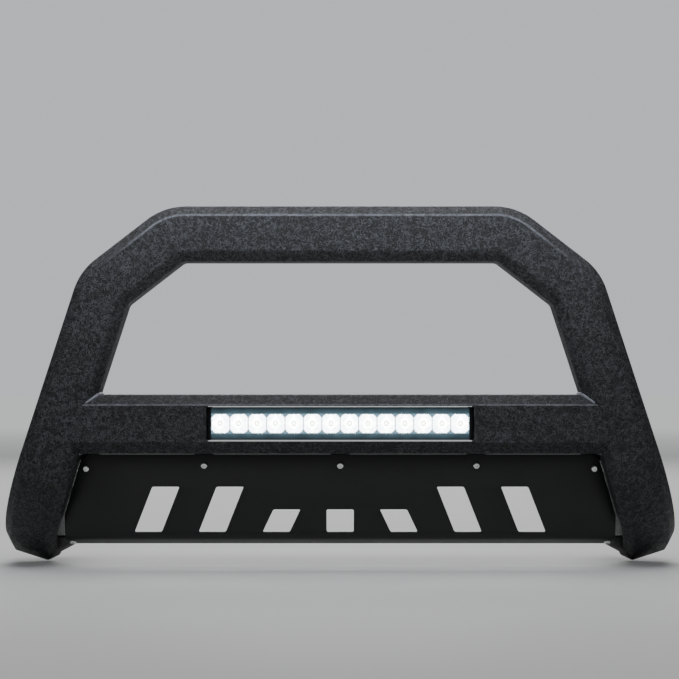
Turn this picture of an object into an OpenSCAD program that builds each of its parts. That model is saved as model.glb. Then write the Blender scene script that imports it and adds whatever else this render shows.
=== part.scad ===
// Front grille guard: pressed-steel hoop and crossbar, slotted skid plate,
// single-row light bar that tilts in the crossbar, and bolt-on frame brackets.
// The origin is the centre of the four frame bolts on the brackets' rear faces.
// X runs across the vehicle, Y points back to the vehicle and Z points up.

/* [Hoop] */
// Height of the hoop's top edge above the frame bolts' centre
hoop_top = 400; // [390:5:415]
// Distance from the centre line to the corner of rail and shoulder
rail_reach = 252.5; // [245:2.5:260]
// Sideways run of the shoulder
shoulder_run = 120.5; // [115:0.5:126]
// Drop of the shoulder
shoulder_drop = 93.5; // [88:0.5:98]
// Length of the leg from the shoulder corner to the foot bend
leg_length = 270; // [264:1:276]
// Outward lean of the legs
leg_lean = 17.8; // [17:0.1:18.5]
// Width of the hoop tube seen from the front
tube_w = 80; // [76:1:84]
// Depth of the hoop tube from front to back
tube_d = 54; // [50:1:60]
// Front chamfer of hoop and crossbar
chamfer = 14; // [12:1:16]
// Sheet thickness of hoop and crossbar
sheet = 2.5; // [2:0.5:3]
// Bend radius on the inside of the shoulders
inner_bend = 12; // [10:1:16]
// Bend radius of the foot at its front face
foot_bend = 150; // [140:5:155]
// Angle by which the foot sweeps back
foot_turn = 73; // [70:1:75]
// Straight length of the foot behind its bend
foot_length = 51; // [45:1:55]

/* [Crossbar] */
// Height of the crossbar's top edge
crossbar_top = 130; // [128:1:132]
// Height of the crossbar, edge to edge
crossbar_h = 85; // [84:1:87]
// Width of the light window
window_w = 380; // [376:2:390]
// Height of the light window
window_h = 50; // [49:0.5:52]

/* [Light bar] */
// Number of emitters in the row
led_count = 14; // [12:1:14]
// Distance between emitters
led_pitch = 26.2; // [25.8:0.1:26.2]
// Length of the light housing without its ends
housing_w = 368; // [368:0.5:369]
// Height of the light housing
housing_h = 46; // [45:0.5:47]

/* [Skid plate] */
// Thickness of the skid plate
plate_t = 3; // [2.5:0.5:3]
// Backward lean of the skid plate's face
plate_lean = 11.2; // [10:0.1:12]
// Length of the face down to its lower bend
plate_face = 121.6; // [120:0.2:124]
// Lean of the flange below the bend
flange_lean = 62; // [58:1:64]
// Distance between the vent slots
slot_pitch = 93.2; // [90:0.2:94]

/* [Brackets] */
// Distance from the front faces to the frame
standoff = 210; // [208:1:214]
// Distance between left and right frame bolts
frame_bolts_x = 880; // [870:5:890]
// Distance between upper and lower frame bolts
frame_bolts_z = 70; // [64:2:72]
// Thickness of the bracket plates
bracket_t = 6; // [5:0.5:6]

/* [Hidden] */
$fn = 64;

// Colours
textured_black = [0.10, 0.10, 0.115];
satin_black = [0.13, 0.13, 0.14];
anodised_black = [0.08, 0.09, 0.10];
zinc = [0.78, 0.79, 0.80];
rubber_black = [0.05, 0.05, 0.05];

// Hoop, derived
front_y = -standoff;
shoulder_angle = atan2(shoulder_drop, shoulder_run);
leg_bend = 90 - leg_lean - shoulder_angle;
outer_bend = inner_bend + tube_w;
setback_rail = outer_bend * tan(shoulder_angle / 2);
setback_leg = outer_bend * tan(leg_bend / 2);
rail_half = rail_reach - setback_rail;
shoulder_length = norm([shoulder_run, shoulder_drop]) - setback_rail - setback_leg;
leg_straight = leg_length - setback_leg;
mitre = sheet * tan(22.5);
end_cap_t = 3;
end_cap_inset = 1;

// X of the leg's inner wall at height z, measured in the plane of the hoop
shoulder_corner = [rail_reach + shoulder_run, hoop_top - shoulder_drop];
function inner_wall_x(z) =
    shoulder_corner[0] + (shoulder_corner[1] - z) * tan(leg_lean) - tube_w / cos(leg_lean);

// Crossbar, derived
crossbar_bottom = crossbar_top - crossbar_h;
crossbar_high_chamfer = chamfer + 0.6;
crossbar_low_chamfer = chamfer + 2;
crossbar_lip = 12;
window_z = crossbar_bottom + crossbar_low_chamfer + (crossbar_h - chamfer - crossbar_low_chamfer) / 2;
window_corner = 3;

// Light bar, derived: its own frame has its origin on the tilt axis
pivot_y = front_y + 29;
pivot_z = window_z;
housing_front = -22;
housing_back = 22;
fin_root = 10.5;
lip_t = 2.5;
lip_h = 8;
housing_wall = 2.5;
web_y = -2;
board_t = 1.6;
lens_t = 3;
lens_h = housing_h - 2 * lip_h + 5;
gasket_t = 1;
cap_t = 4;
pivot_r = 4;
tab_t = 3;
tab_gap = 0.3;
boss_t = 1.7;
cap_outer_x = housing_w / 2 + gasket_t + cap_t;
tab_x = cap_outer_x + boss_t + tab_gap;
cap_screw_places = [[-11, 18.2], [-11, -18.2], [5.6, 17.4], [5.6, -17.4]];

// Skid plate, derived
plate_top_y = front_y + 43;
plate_top_z = crossbar_bottom - 2;
plate_bend = 6;
flange_length = 14;
flange_bend = flange_lean - plate_lean;
plate_gap = 1.2;
top_screw_places = [[0, 16], [197, 16], [-197, 16], [368, 20.5], [-368, 20.5]];
bottom_screw_x = 391;
bottom_screw_drop = 6.5;
screw_r = 2.95;
screw_hole_r = 3.3;
tab_sheet = 3;
foot_tab_t = 4;
washer_t = 1.6;
nut_h = 5;

// Bracket, derived
mount_plate_x = 405;
mount_plate_back = -30;
mount_plate_low = -42;
mount_plate_high = 46;
bracket_low = -56;
bracket_front = -92;
bracket_flange_w = 72;
bracket_bend = 6;
rib_t = 5;
frame_hole_r = 6.75;
side_bolt_y = -60;
side_bolt_z = 25;
bolt_r = 6;
bolt_hole_r = 6.5;

// ---------- helpers ----------

module both_sides() {
    children();
    mirror([1, 0, 0]) children();
}

module side(left) {
    mirror([left ? 0 : 1, 0, 0]) children();
}

// Extrudes a shape drawn in Y and Z along X, centred
module across(length) {
    rotate([90, 0, 90]) linear_extrude(length, center = true) children();
}

// Rectangle with true round corners
module round_rect(w, h, r) {
    square([w - 2 * r, h], center = true);
    square([w, h - 2 * r], center = true);
    for (i = [-1, 1], j = [-1, 1])
        translate([i * (w / 2 - r), j * (h / 2 - r)]) circle(r);
}

// ---------- hoop path ----------
// Frames down the left half: local X points out of the hoop, local Y points
// back and local Z runs along the tube towards the foot.

module turned_in(angle) {
    translate([-inner_bend, 0, 0]) rotate([0, -angle, 0]) translate([inner_bend, 0, 0]) children();
}

module turned_back(angle) {
    translate([0, foot_bend, 0]) rotate([-angle, 0, 0]) translate([0, -foot_bend, 0]) children();
}

module at_rail() {
    translate([0, front_y, hoop_top - tube_w]) rotate([0, -90, 0]) children();
}

module at_shoulder() {
    at_rail() translate([0, 0, rail_half]) turned_in(shoulder_angle) children();
}

module at_leg() {
    at_shoulder() translate([0, 0, shoulder_length]) turned_in(leg_bend) children();
}

module at_foot() {
    at_leg() translate([0, 0, leg_straight]) turned_back(foot_turn) children();
}

// Cross-section stations down the left half, each as corner, outward and backward directions
function in_plane(t) = [-sin(t), 0, cos(t)];
function along(t) = [-cos(t), 0, -sin(t)];
function bend_stations(centre, from, to, steps) = [
    for (i = [0 : steps]) let (t = from + (to - from) * i / steps)
        [centre + inner_bend * in_plane(t), in_plane(t), [0, 1, 0]]
];
function back_stations(start, lean, extra) = let (w = along(lean), u = in_plane(lean), v = [0, 1, 0])
    [for (i = [0 : foot_steps + 1]) let (
            f = foot_turn * min(i, foot_steps) / foot_steps,
            back = cos(f) * v - sin(f) * w,
            on = sin(f) * v + cos(f) * w,
            run = i > foot_steps ? foot_length + extra : 0
        )
        [start + foot_bend * (v - back) + run * on, u, back]];
bend_steps = 8;
foot_steps = 18;
lean_in = shoulder_angle + leg_bend;
bend_1 = [-rail_half, front_y, hoop_top - outer_bend];
bend_2 = bend_1 + shoulder_length * along(shoulder_angle);
leg_top = bend_2 + inner_bend * in_plane(lean_in);
leg_foot = leg_top + leg_straight * along(lean_in);
half_stations = concat(
    bend_stations(bend_1, 0, shoulder_angle, bend_steps),
    bend_stations(bend_2, shoulder_angle, lean_in, bend_steps),
    back_stations(leg_foot, lean_in, 0)
);
leg_stations = concat([[leg_top, in_plane(lean_in), [0, 1, 0]]], back_stations(leg_foot, lean_in, 20));

// Points of a section at one station; side is 1 for the left half and -1 for the right
function ring(station, section, side) = [
    for (q = section) let (c = station[0] + q[0] * station[1] + q[1] * station[2]) [side * c[0], c[1], c[2]]
];

// Skin over a row of rings
module skin(rings) {
    m = len(rings[0]);
    n = len(rings);
    polyhedron(
        points = [for (r = rings, c = r) c],
        faces = concat(
            [[for (j = [0 : m - 1]) j]],
            [for (i = [0 : n - 2], j = [0 : m - 1])
                [i * m + j, (i + 1) * m + j, (i + 1) * m + (j + 1) % m, i * m + (j + 1) % m]],
            [[for (j = [m - 1 : -1 : 0]) (n - 1) * m + j]]
        )
    );
}

// Sweeps a section round the whole hoop, from the right foot to the left one
module hoop_sweep(section) {
    n = len(half_stations);
    skin(concat(
        [for (i = [n - 1 : -1 : 0]) ring(half_stations[i], section, -1)],
        [for (i = [0 : n - 1]) ring(half_stations[i], section, 1)]
    ));
}

// Corners of the tube, grown inwards by inset
function tube_corners(inset) = let (m = inset * tan(22.5)) [
    [inset, tube_d - inset], [inset, chamfer + m], [chamfer + m, inset],
    [tube_w - chamfer - m, inset], [tube_w - inset, chamfer + m], [tube_w - inset, tube_d - inset]
];

module tube_outline(inset = 0) {
    polygon(tube_corners(inset));
}

// Solid of one leg and foot, used to cope what is welded to them
module leg_solid() {
    skin([for (t = leg_stations) ring(t, tube_corners(0), 1)]);
}

// Cutter for what meets the straight of a leg, with its chamfer carried on past the front
module leg_cutter() {
    past = 5;
    both_sides() at_leg() linear_extrude(leg_straight) polygon([
        [0, tube_d + past], [0, chamfer], [chamfer + past, -past], [tube_w, -past], [tube_w, tube_d + past]
    ]);
}

module hoop_shell() {
    outer = tube_corners(0);
    inner = tube_corners(sheet);
    color(textured_black) hoop_sweep(concat(
        outer, [[tube_w - sheet, tube_d]], [for (i = [4 : -1 : 1]) inner[i]], [[sheet, tube_d]]
    ));
}

module hoop_back() {
    y = tube_d - sheet;
    color(textured_black) hoop_sweep([[sheet, tube_d], [sheet, y], [tube_w - sheet, y], [tube_w - sheet, tube_d]]);
}

module hoop_end(left) {
    color(textured_black) side(left) at_foot()
        translate([0, 0, foot_length - end_cap_inset - end_cap_t])
        linear_extrude(end_cap_t) tube_outline(sheet);
}

// ---------- crossbar ----------

module crossbar_profile() {
    b = crossbar_bottom;
    t = crossbar_top;
    hc = crossbar_high_chamfer;
    lc = crossbar_low_chamfer;
    back = tube_d;
    translate([front_y, 0]) polygon([
        [back, t], [hc, t], [0, t - hc], [0, b + lc], [lc, b], [back, b], [back, b + crossbar_lip],
        [back - sheet, b + crossbar_lip], [back - sheet, b + sheet], [lc + mitre, b + sheet],
        [sheet, b + lc + mitre], [sheet, t - hc - mitre], [hc + mitre, t - sheet],
        [back - sheet, t - sheet], [back - sheet, t - crossbar_lip], [back, t - crossbar_lip]
    ]);
}

module crossbar() {
    color(textured_black) difference() {
        across(2 * inner_wall_x(crossbar_bottom) + 40) crossbar_profile();
        translate([0, front_y + 5, window_z]) rotate([90, 0, 0])
            linear_extrude(10) round_rect(window_w, window_h, window_corner);
        leg_cutter();
    }
}

// Plate welded inside the crossbar that carries the light's pivot
module light_tab(left) {
    low = crossbar_bottom + sheet;
    high = crossbar_top - sheet;
    color(satin_black) side(left) difference() {
        translate([-tab_x - tab_t, front_y + crossbar_low_chamfer + 2, low])
            cube([tab_t, tube_d - crossbar_low_chamfer - sheet - 4, high - low]);
        translate([-tab_x - tab_t - 1, pivot_y, pivot_z]) rotate([0, 90, 0])
            cylinder(h = tab_t + 2, r = pivot_r);
    }
}

// ---------- skid plate ----------
// Frame of the plate's face: local Z runs up the face, local Y into the plate.

module at_plate() {
    translate([0, plate_top_y, plate_top_z]) rotate([plate_lean, 0, 0]) children();
}

module at_flange() {
    r = plate_bend + plate_t;
    at_plate() translate([0, r, -plate_face]) rotate([flange_bend, 0, 0]) translate([0, -r, 0]) children();
}

// Face area between the legs, with a gap at each leg and cut top corners
module plate_outline() {
    low = -110;
    knee = -46;
    corner = 10;
    high = plate_top_z + 2;
    function edge(z) = inner_wall_x(z) - plate_gap;
    polygon([
        [-edge(knee), low], [edge(knee), low], [edge(knee), knee], [edge(high - corner), high - corner],
        [edge(high) - corner, high], [-edge(high) + corner, high], [-edge(high - corner), high - corner],
        [-edge(knee), knee]
    ]);
}

// Slanted vent slot with rounded corners, drawn in X and Z of the plate's face
module vent_slot(x, top, bottom, slant, w) {
    r = 2.5;
    lean = (bottom - top) * tan(slant);
    points = [[x - w / 2, -bottom], [x + w / 2, -bottom], [x + w / 2 - lean, -top], [x - w / 2 - lean, -top]];
    translate([0, plate_t + 1, 0]) rotate([90, 0, 0]) linear_extrude(plate_t + 2)
        offset(r = r, $fn = 24) offset(delta = -r) polygon(points);
}

module vent_slots() {
    slot_w = 39.5;
    low = 116;
    for (i = [-3 : 3]) {
        big = abs(i) > 1;
        vent_slot(i * slot_pitch, big ? 48 : 82, low, sign(i) * (big ? 21.5 : 25), slot_w);
    }
}

// Section of the bent plate in its face's frame, Y back and Z up
module plate_section() {
    steps = 8;
    r = plate_bend + plate_t;
    centre = [r, -plate_face];
    function arc(radius, i) = centre - radius * [cos(flange_bend * i / steps), sin(flange_bend * i / steps)];
    end = flange_length * [sin(flange_bend), -cos(flange_bend)];
    polygon(concat(
        [[0, 0]], [for (i = [0 : steps]) arc(r, i)], [arc(r, steps) + end],
        [arc(plate_bend, steps) + end], [for (i = [steps : -1 : 0]) arc(plate_bend, i)], [[plate_t, 0]]
    ));
}

module skid_plate() {
    color(satin_black) difference() {
        intersection() {
            at_plate() across(2 * inner_wall_x(-110)) plate_section();
            rotate([90, 0, 0]) linear_extrude(2 * standoff, center = true) plate_outline();
        }
        at_plate() vent_slots();
        screw_axes() cylinder(h = 2 * plate_t + 4, r = screw_hole_r, center = true);
    }
}

// Puts children on each skid screw's axis, with local Z pointing out of the plate
module screw_axes(top = true, bottom = true) {
    if (top)
        for (p = top_screw_places)
            at_plate() translate([p[0], 0, -p[1]]) rotate([90, 0, 0]) children();
    if (bottom)
        for (x = [-bottom_screw_x, bottom_screw_x])
            at_flange() translate([x, 0, -bottom_screw_drop]) rotate([90, 0, 0]) children();
}

// Tabs under the crossbar that the plate's top edge is screwed to
module skid_tabs() {
    w = 28;
    h = 31;
    color(satin_black) difference() {
        intersection() {
            for (p = top_screw_places)
                at_plate() translate([sign(p[0]) * min(abs(p[0]), 362) - w / 2, plate_t, -h - (p[1] - 16)])
                    cube([w, tab_sheet, h + 20]);
            translate([-500, front_y, -200]) cube([1000, standoff, 200 + crossbar_bottom]);
        }
        leg_cutter();
        screw_axes(bottom = false) cylinder(h = 40, r = screw_hole_r, center = true);
    }
}

// Tab welded to the inside of a foot, behind the skid plate's flange
module foot_tab(left) {
    inner = 383;
    outer = 440;
    slope = 1.15;
    color(satin_black) side(left) difference() {
        at_flange() translate([0, plate_t + foot_tab_t, 0]) rotate([90, 0, 0])
            linear_extrude(foot_tab_t)
            polygon([
                [-outer, 0], [-inner, 0], [-inner, -13], [-inner - 4, -20],
                [-outer, -20 - slope * (outer - inner - 4)]
            ]);
        leg_solid();
        screw_axes(top = false) cylinder(h = 40, r = screw_hole_r, center = true);
    }
}

// ---------- fasteners ----------

// Button-head screw with its head's underside at z = 0 and its shank below
module button_screw(r, head_r, head_h, length, socket) {
    dome = (head_r * head_r + head_h * head_h) / (2 * head_h);
    difference() {
        intersection() {
            cylinder(h = head_h, r = head_r);
            translate([0, 0, head_h - dome]) sphere(dome);
        }
        translate([0, 0, head_h - 1.8]) cylinder(h = 3, r = socket, $fn = 6);
    }
    translate([0, 0, -length]) cylinder(h = length, r = r);
}

module washer(r, hole_r, t) {
    difference() {
        cylinder(h = t, r = r);
        translate([0, 0, -1]) cylinder(h = t + 2, r = hole_r);
    }
}

// Split spring washer
module lock_washer(r, hole_r, t) {
    difference() {
        washer(r, hole_r, t);
        rotate([35, 0, 0]) translate([0, -0.7, -5]) cube([r + 1, 1.4, 12]);
    }
}

module hex_nut(flats, hole_r, h) {
    difference() {
        cylinder(h = h, r = flats / sqrt(3), $fn = 6);
        translate([0, 0, -1]) cylinder(h = h + 2, r = hole_r);
    }
}

module hex_bolt(r, flats, head_h, length) {
    cylinder(h = head_h, r = flats / sqrt(3), $fn = 6);
    translate([0, 0, -length]) cylinder(h = length, r = r);
}

module skid_screws(top) {
    color(zinc) screw_axes(top = top, bottom = !top)
        button_screw(screw_r, 5.25, 3.3, 20, 2.3);
}

module skid_washers() {
    depth = plate_t + tab_sheet + washer_t;
    foot_depth = plate_t + foot_tab_t + washer_t;
    color(zinc) {
        screw_axes(bottom = false) translate([0, 0, -depth]) washer(6, 3.2, washer_t);
        screw_axes(top = false) translate([0, 0, -foot_depth]) washer(6, 3.2, washer_t);
    }
}

module skid_nuts() {
    depth = plate_t + tab_sheet + washer_t + nut_h;
    foot_depth = plate_t + foot_tab_t + washer_t + nut_h;
    color(zinc) {
        screw_axes(bottom = false) translate([0, 0, -depth]) hex_nut(10, 3, nut_h);
        screw_axes(top = false) translate([0, 0, -foot_depth]) hex_nut(10, 3, nut_h);
    }
}

// ---------- frame brackets ----------

// Plate welded to the back of a leg, with two slots for the side bolts
module mount_plate(left) {
    slot = 13;
    color(satin_black) side(left) difference() {
        translate([-mount_plate_x - bracket_t, 0, 0]) rotate([90, 0, 90])
            linear_extrude(bracket_t) polygon([
                [front_y + tube_d, mount_plate_low], [front_y + tube_d, mount_plate_high + 20],
                [front_y + tube_d + 30, mount_plate_high + 20], [-88, mount_plate_high],
                [mount_plate_back - 14, mount_plate_high], [mount_plate_back, mount_plate_high - 14],
                [mount_plate_back, mount_plate_low]
            ]);
        for (z = [-side_bolt_z, side_bolt_z])
            translate([-mount_plate_x - bracket_t - 1, side_bolt_y, z]) rotate([90, 0, 90])
                linear_extrude(bracket_t + 2) {
                    square([slot, 2 * bolt_hole_r], center = true);
                    for (i = [-1, 1]) translate([i * slot / 2, 0]) circle(bolt_hole_r);
                }
        leg_solid();
    }
}

// Bent bracket between the mount plate and the vehicle's frame
module frame_bracket(left) {
    x = mount_plate_x - bracket_t;
    r = bracket_bend + bracket_t;
    h = -2 * bracket_low;
    color(satin_black) side(left) difference() {
        translate([-x, 0, bracket_low]) {
            translate([-bracket_t, bracket_front, 0]) cube([bracket_t, -bracket_front - r, h]);
            translate([-bracket_flange_w, -bracket_t, 0]) cube([bracket_flange_w - r, bracket_t, h]);
            translate([-r, -r, 0]) rotate_extrude(angle = 90) translate([bracket_bend, 0]) square([bracket_t, h]);
        }
        for (z = [-1, 1]) {
            translate([-frame_bolts_x / 2, 1, z * frame_bolts_z / 2]) rotate([90, 0, 0])
                cylinder(h = bracket_t + 2, r = frame_hole_r);
            translate([-x - bracket_t - 1, side_bolt_y, z * side_bolt_z]) rotate([0, 90, 0])
                cylinder(h = bracket_t + 2, r = bolt_hole_r);
            // cut front corners
            translate([-x, bracket_front, z * bracket_low]) rotate([45, 0, 0])
                cube([40, 24, 24], center = true);
        }
    }
}

// Triangular ribs that stiffen the bracket's corner at top and bottom
module bracket_ribs(left) {
    x = mount_plate_x;
    corner = bracket_bend + 4;
    color(satin_black) side(left) for (z = [bracket_low + 1, -bracket_low - rib_t - 1])
        translate([0, 0, z]) linear_extrude(rib_t) polygon([
            [-x, -bracket_t - corner], [-x - corner, -bracket_t],
            [-x - bracket_flange_w + bracket_t + 6, -bracket_t], [-x - bracket_flange_w + bracket_t + 6, -bracket_t - 6],
            [-x - 6, -76], [-x, -76]
        ]);
}

// Puts children on each side bolt's axis, with local Z pointing outwards
module side_bolt_axes(left) {
    side(left) for (z = [-side_bolt_z, side_bolt_z])
        translate([-mount_plate_x - bracket_t, side_bolt_y, z]) rotate([0, -90, 0]) children();
}

bracket_washer_t = 2.5;
lock_washer_t = 3;
bolt_nut_h = 10;
grip = 2 * bracket_t;

module bracket_bolts(left) {
    length = grip + bracket_washer_t + lock_washer_t + bolt_nut_h + 6;
    color(zinc) side_bolt_axes(left) translate([0, 0, bracket_washer_t]) hex_bolt(bolt_r - 0.05, 18, 7.5, length);
}

module bracket_washers(left) {
    color(zinc) side_bolt_axes(left) {
        washer(12, 6.5, bracket_washer_t);
        translate([0, 0, -grip - bracket_washer_t]) washer(12, 6.5, bracket_washer_t);
    }
}

module bracket_lock_washers(left) {
    color(zinc) side_bolt_axes(left)
        translate([0, 0, -grip - bracket_washer_t - lock_washer_t]) lock_washer(10.5, 6.3, lock_washer_t);
}

module bracket_nuts(left) {
    color(zinc) side_bolt_axes(left)
        translate([0, 0, -grip - bracket_washer_t - lock_washer_t - bolt_nut_h]) hex_nut(18, bolt_r, bolt_nut_h);
}

// ---------- light bar ----------

module at_light() {
    translate([0, pivot_y, pivot_z]) children();
}

module housing_profile() {
    half = housing_h / 2;
    fins = 8;
    fin_t = 1.8;
    difference() {
        translate([housing_front, -half]) square([fin_root - housing_front, housing_h]);
        // opening between the front lips
        translate([housing_front - 1, -half + lip_h]) square([lip_t + 2, housing_h - 2 * lip_h]);
        // front cavity
        translate([housing_front + lip_t, -half + housing_wall])
            square([web_y - housing_front - lip_t, housing_h - 2 * housing_wall]);
        // driver cavity
        translate([web_y + housing_wall, -half + housing_wall + 1])
            square([fin_root - web_y - 2 * housing_wall, housing_h - 2 * housing_wall - 2]);
    }
    for (i = [0 : fins - 1])
        translate([fin_root, -half + i * (housing_h - fin_t) / (fins - 1)])
            square([housing_back - fin_root, fin_t]);
    for (p = cap_screw_places) translate(p) circle(3);
}

module cap_screw_holes(r) {
    for (p = cap_screw_places) translate(p) circle(r);
}

module light_housing() {
    color(anodised_black) at_light() difference() {
        across(housing_w) difference() {
            housing_profile();
            cap_screw_holes(1.5);
        }
        for (x = [gland_x, vent_x])
            translate([x, housing_back + 1, 0]) rotate([90, 0, 0]) cylinder(h = housing_back + 1 - fin_root, r = 8.5);
        for (x = [gland_x, vent_x])
            translate([x, fin_root + 1, 0]) rotate([90, 0, 0]) cylinder(h = housing_wall + 2, r = 4);
    }
}
gland_x = 120;
vent_x = -120;

// Clear cover that slides in behind the front lips
module light_lens() {
    color([0.85, 0.9, 0.95, 0.4]) at_light() across(housing_w - 0.4)
        translate([housing_front + lip_t + 0.4, -lens_h / 2]) square([lens_t, lens_h]);
}

// Seal strips between the lens and the lips
module light_lens_seal() {
    y = housing_front + lip_t;
    color(rubber_black) at_light() for (s = [-1, 1])
        across(housing_w - 0.4) translate([y, s * (lens_h / 2 - 1.2) - 0.9]) square([0.4, 1.8]);
}

reflector_front = housing_front + lip_t + 0.4 + lens_t;
reflector_back = web_y - board_t;
cup_front_r = 12.4;
cup_back_r = 3.6;

module light_reflector() {
    depth = reflector_back - reflector_front;
    h = 28;
    color([0.85, 0.86, 0.88]) at_light() difference() {
        translate([-led_count * led_pitch / 2, reflector_front, -h / 2]) cube([led_count * led_pitch, depth, h]);
        for (i = [0 : led_count - 1])
            translate([(i - (led_count - 1) / 2) * led_pitch, reflector_front, 0]) rotate([-90, 0, 0])
                translate([0, 0, -0.01]) cylinder(h = depth + 0.02, r1 = cup_front_r, r2 = cup_back_r);
    }
}

module light_circuit_board() {
    color([0.9, 0.92, 0.9]) at_light()
        translate([-housing_w / 2 + 2, web_y - board_t, -13.2]) cube([housing_w - 4, board_t, 26.4]);
}

module light_emitters() {
    color([1, 1, 0.9]) at_light() for (i = [0 : led_count - 1])
        translate([(i - (led_count - 1) / 2) * led_pitch, web_y - board_t, 0]) rotate([90, 0, 0]) {
            translate([-1.75, -1.75, 0]) cube([3.5, 3.5, 0.8]);
            translate([0, 0, 0.8]) intersection() {
                sphere(1.5);
                translate([-2, -2, 0]) cube([4, 4, 2]);
            }
        }
}

module light_driver_board() {
    y = web_y + housing_wall;
    color([0.1, 0.35, 0.2]) at_light() {
        translate([-60, y, -11]) cube([120, 1.6, 22]);
        for (x = [-42 : 28 : 42]) translate([x - 5, y + 1.6, -5]) cube([10, 3, 10]);
    }
}

// Outline of the housing's end, shared by gaskets and end caps
module end_outline(grow) {
    y0 = housing_front - grow;
    y1 = housing_back + grow;
    h = housing_h + 2 * grow;
    translate([(y0 + y1) / 2, 0]) round_rect(y1 - y0, h, 3 + grow);
}

module light_gasket(left) {
    color(rubber_black) at_light() side(left)
        translate([-housing_w / 2 - gasket_t, 0, 0]) rotate([90, 0, 90]) linear_extrude(gasket_t) difference() {
            end_outline(0);
            cap_screw_holes(1.8);
        }
}

module light_end_cap(left) {
    color(anodised_black) at_light() side(left) difference() {
        union() {
            translate([-cap_outer_x, 0, 0]) rotate([90, 0, 90]) linear_extrude(cap_t) end_outline(0.6);
            translate([-cap_outer_x - boss_t, 0, 0]) rotate([0, 90, 0]) cylinder(h = boss_t + 1, r = 9);
        }
        translate([-cap_outer_x - boss_t - 1, 0, 0]) rotate([0, 90, 0]) cylinder(h = boss_t + cap_t, r = pivot_r);
        translate([-cap_outer_x - 1, 0, 0]) rotate([90, 0, 90]) linear_extrude(cap_t + 2) cap_screw_holes(1.8);
    }
}

module light_cap_screws(left) {
    color(zinc) at_light() side(left) for (p = cap_screw_places)
        translate([-cap_outer_x, p[0], p[1]]) rotate([0, -90, 0]) button_screw(1.45, 2.8, 1.5, 14, 1);
}

pivot_washer_t = 1.6;
pivot_lock_t = 2;
module light_pivot_washers(left) {
    outer = -tab_x - tab_t - tab_gap;
    color(zinc) at_light() side(left) translate([outer, 0, 0]) rotate([0, -90, 0]) {
        washer(8.5, 4.3, pivot_washer_t);
        translate([0, 0, pivot_washer_t]) lock_washer(7, 4.2, pivot_lock_t);
    }
}

module light_pivot_bolt(left) {
    head = tab_x + tab_t + tab_gap + pivot_washer_t + pivot_lock_t;
    length = head - cap_outer_x - boss_t + cap_t + boss_t - 1.2;
    color(zinc) at_light() side(left) translate([-head, 0, 0]) rotate([0, -90, 0])
        button_screw(pivot_r - 0.05, 7, 4.4, length, 2.9);
}

module light_cable_gland() {
    color(rubber_black) at_light() translate([gland_x, fin_root, 0]) rotate([-90, 0, 0]) difference() {
        union() {
            translate([0, 0, -2.4]) cylinder(h = 3, r = 3.95);
            cylinder(h = 4, r = 13 / sqrt(3), $fn = 6);
            translate([0, 0, 4]) cylinder(h = 7, r1 = 6, r2 = 4.2);
        }
        translate([0, 0, -3]) cylinder(h = 20, r = 2.6);
    }
}

module light_vent_plug() {
    color(anodised_black) at_light() translate([vent_x, fin_root, 0]) rotate([-90, 0, 0]) {
        translate([0, 0, -2.4]) cylinder(h = 2.5, r = 3.95);
        cylinder(h = 2.5, r = 6.5);
        translate([0, 0, 2.5]) cylinder(h = 1.5, r1 = 5.5, r2 = 4.5);
    }
}

// ---------- nodes ----------

hoop_shell();
hoop_back();
hoop_end(true);  // hoop_end_left
hoop_end(false);  // hoop_end_right
crossbar();
light_tab(true);  // light_tab_left
light_tab(false);  // light_tab_right
skid_tabs();
foot_tab(true);  // foot_tab_left
foot_tab(false);  // foot_tab_right
skid_plate();
skid_screws(true);  // skid_screws_top
skid_screws(false);  // skid_screws_bottom
skid_washers();
skid_nuts();
mount_plate(true);  // mount_plate_left
mount_plate(false);  // mount_plate_right
frame_bracket(true);  // frame_bracket_left
frame_bracket(false);  // frame_bracket_right
bracket_ribs(true);  // bracket_ribs_left
bracket_ribs(false);  // bracket_ribs_right
bracket_bolts(true);  // bracket_bolts_left
bracket_bolts(false);  // bracket_bolts_right
bracket_washers(true);  // bracket_washers_left
bracket_washers(false);  // bracket_washers_right
bracket_lock_washers(true);  // bracket_lock_washers_left
bracket_lock_washers(false);  // bracket_lock_washers_right
bracket_nuts(true);  // bracket_nuts_left
bracket_nuts(false);  // bracket_nuts_right
light_housing();
light_lens();
light_lens_seal();
light_reflector();
light_circuit_board();
light_emitters();
light_driver_board();
light_gasket(true);  // light_gasket_left
light_gasket(false);  // light_gasket_right
light_end_cap(true);  // light_end_cap_left
light_end_cap(false);  // light_end_cap_right
light_cap_screws(true);  // light_cap_screws_left
light_cap_screws(false);  // light_cap_screws_right
light_pivot_bolt(true);  // light_pivot_bolt_left
light_pivot_bolt(false);  // light_pivot_bolt_right
light_pivot_washers(true);  // light_pivot_washers_left
light_pivot_washers(false);  // light_pivot_washers_right
light_cable_gland();
light_vent_plug();
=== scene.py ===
"""Front grille guard for a truck: hoop, crossbar with a tilting light bar, skid plate and brackets.

Everything is in metres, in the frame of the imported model: X across the vehicle, Y back towards it,
Z up, with the origin at the centre of the four frame bolts.
"""
import math

import bmesh
import bpy
from bpy.props import BoolProperty, FloatProperty, FloatVectorProperty, IntProperty, PointerProperty
from mathutils import Matrix, Vector


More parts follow.
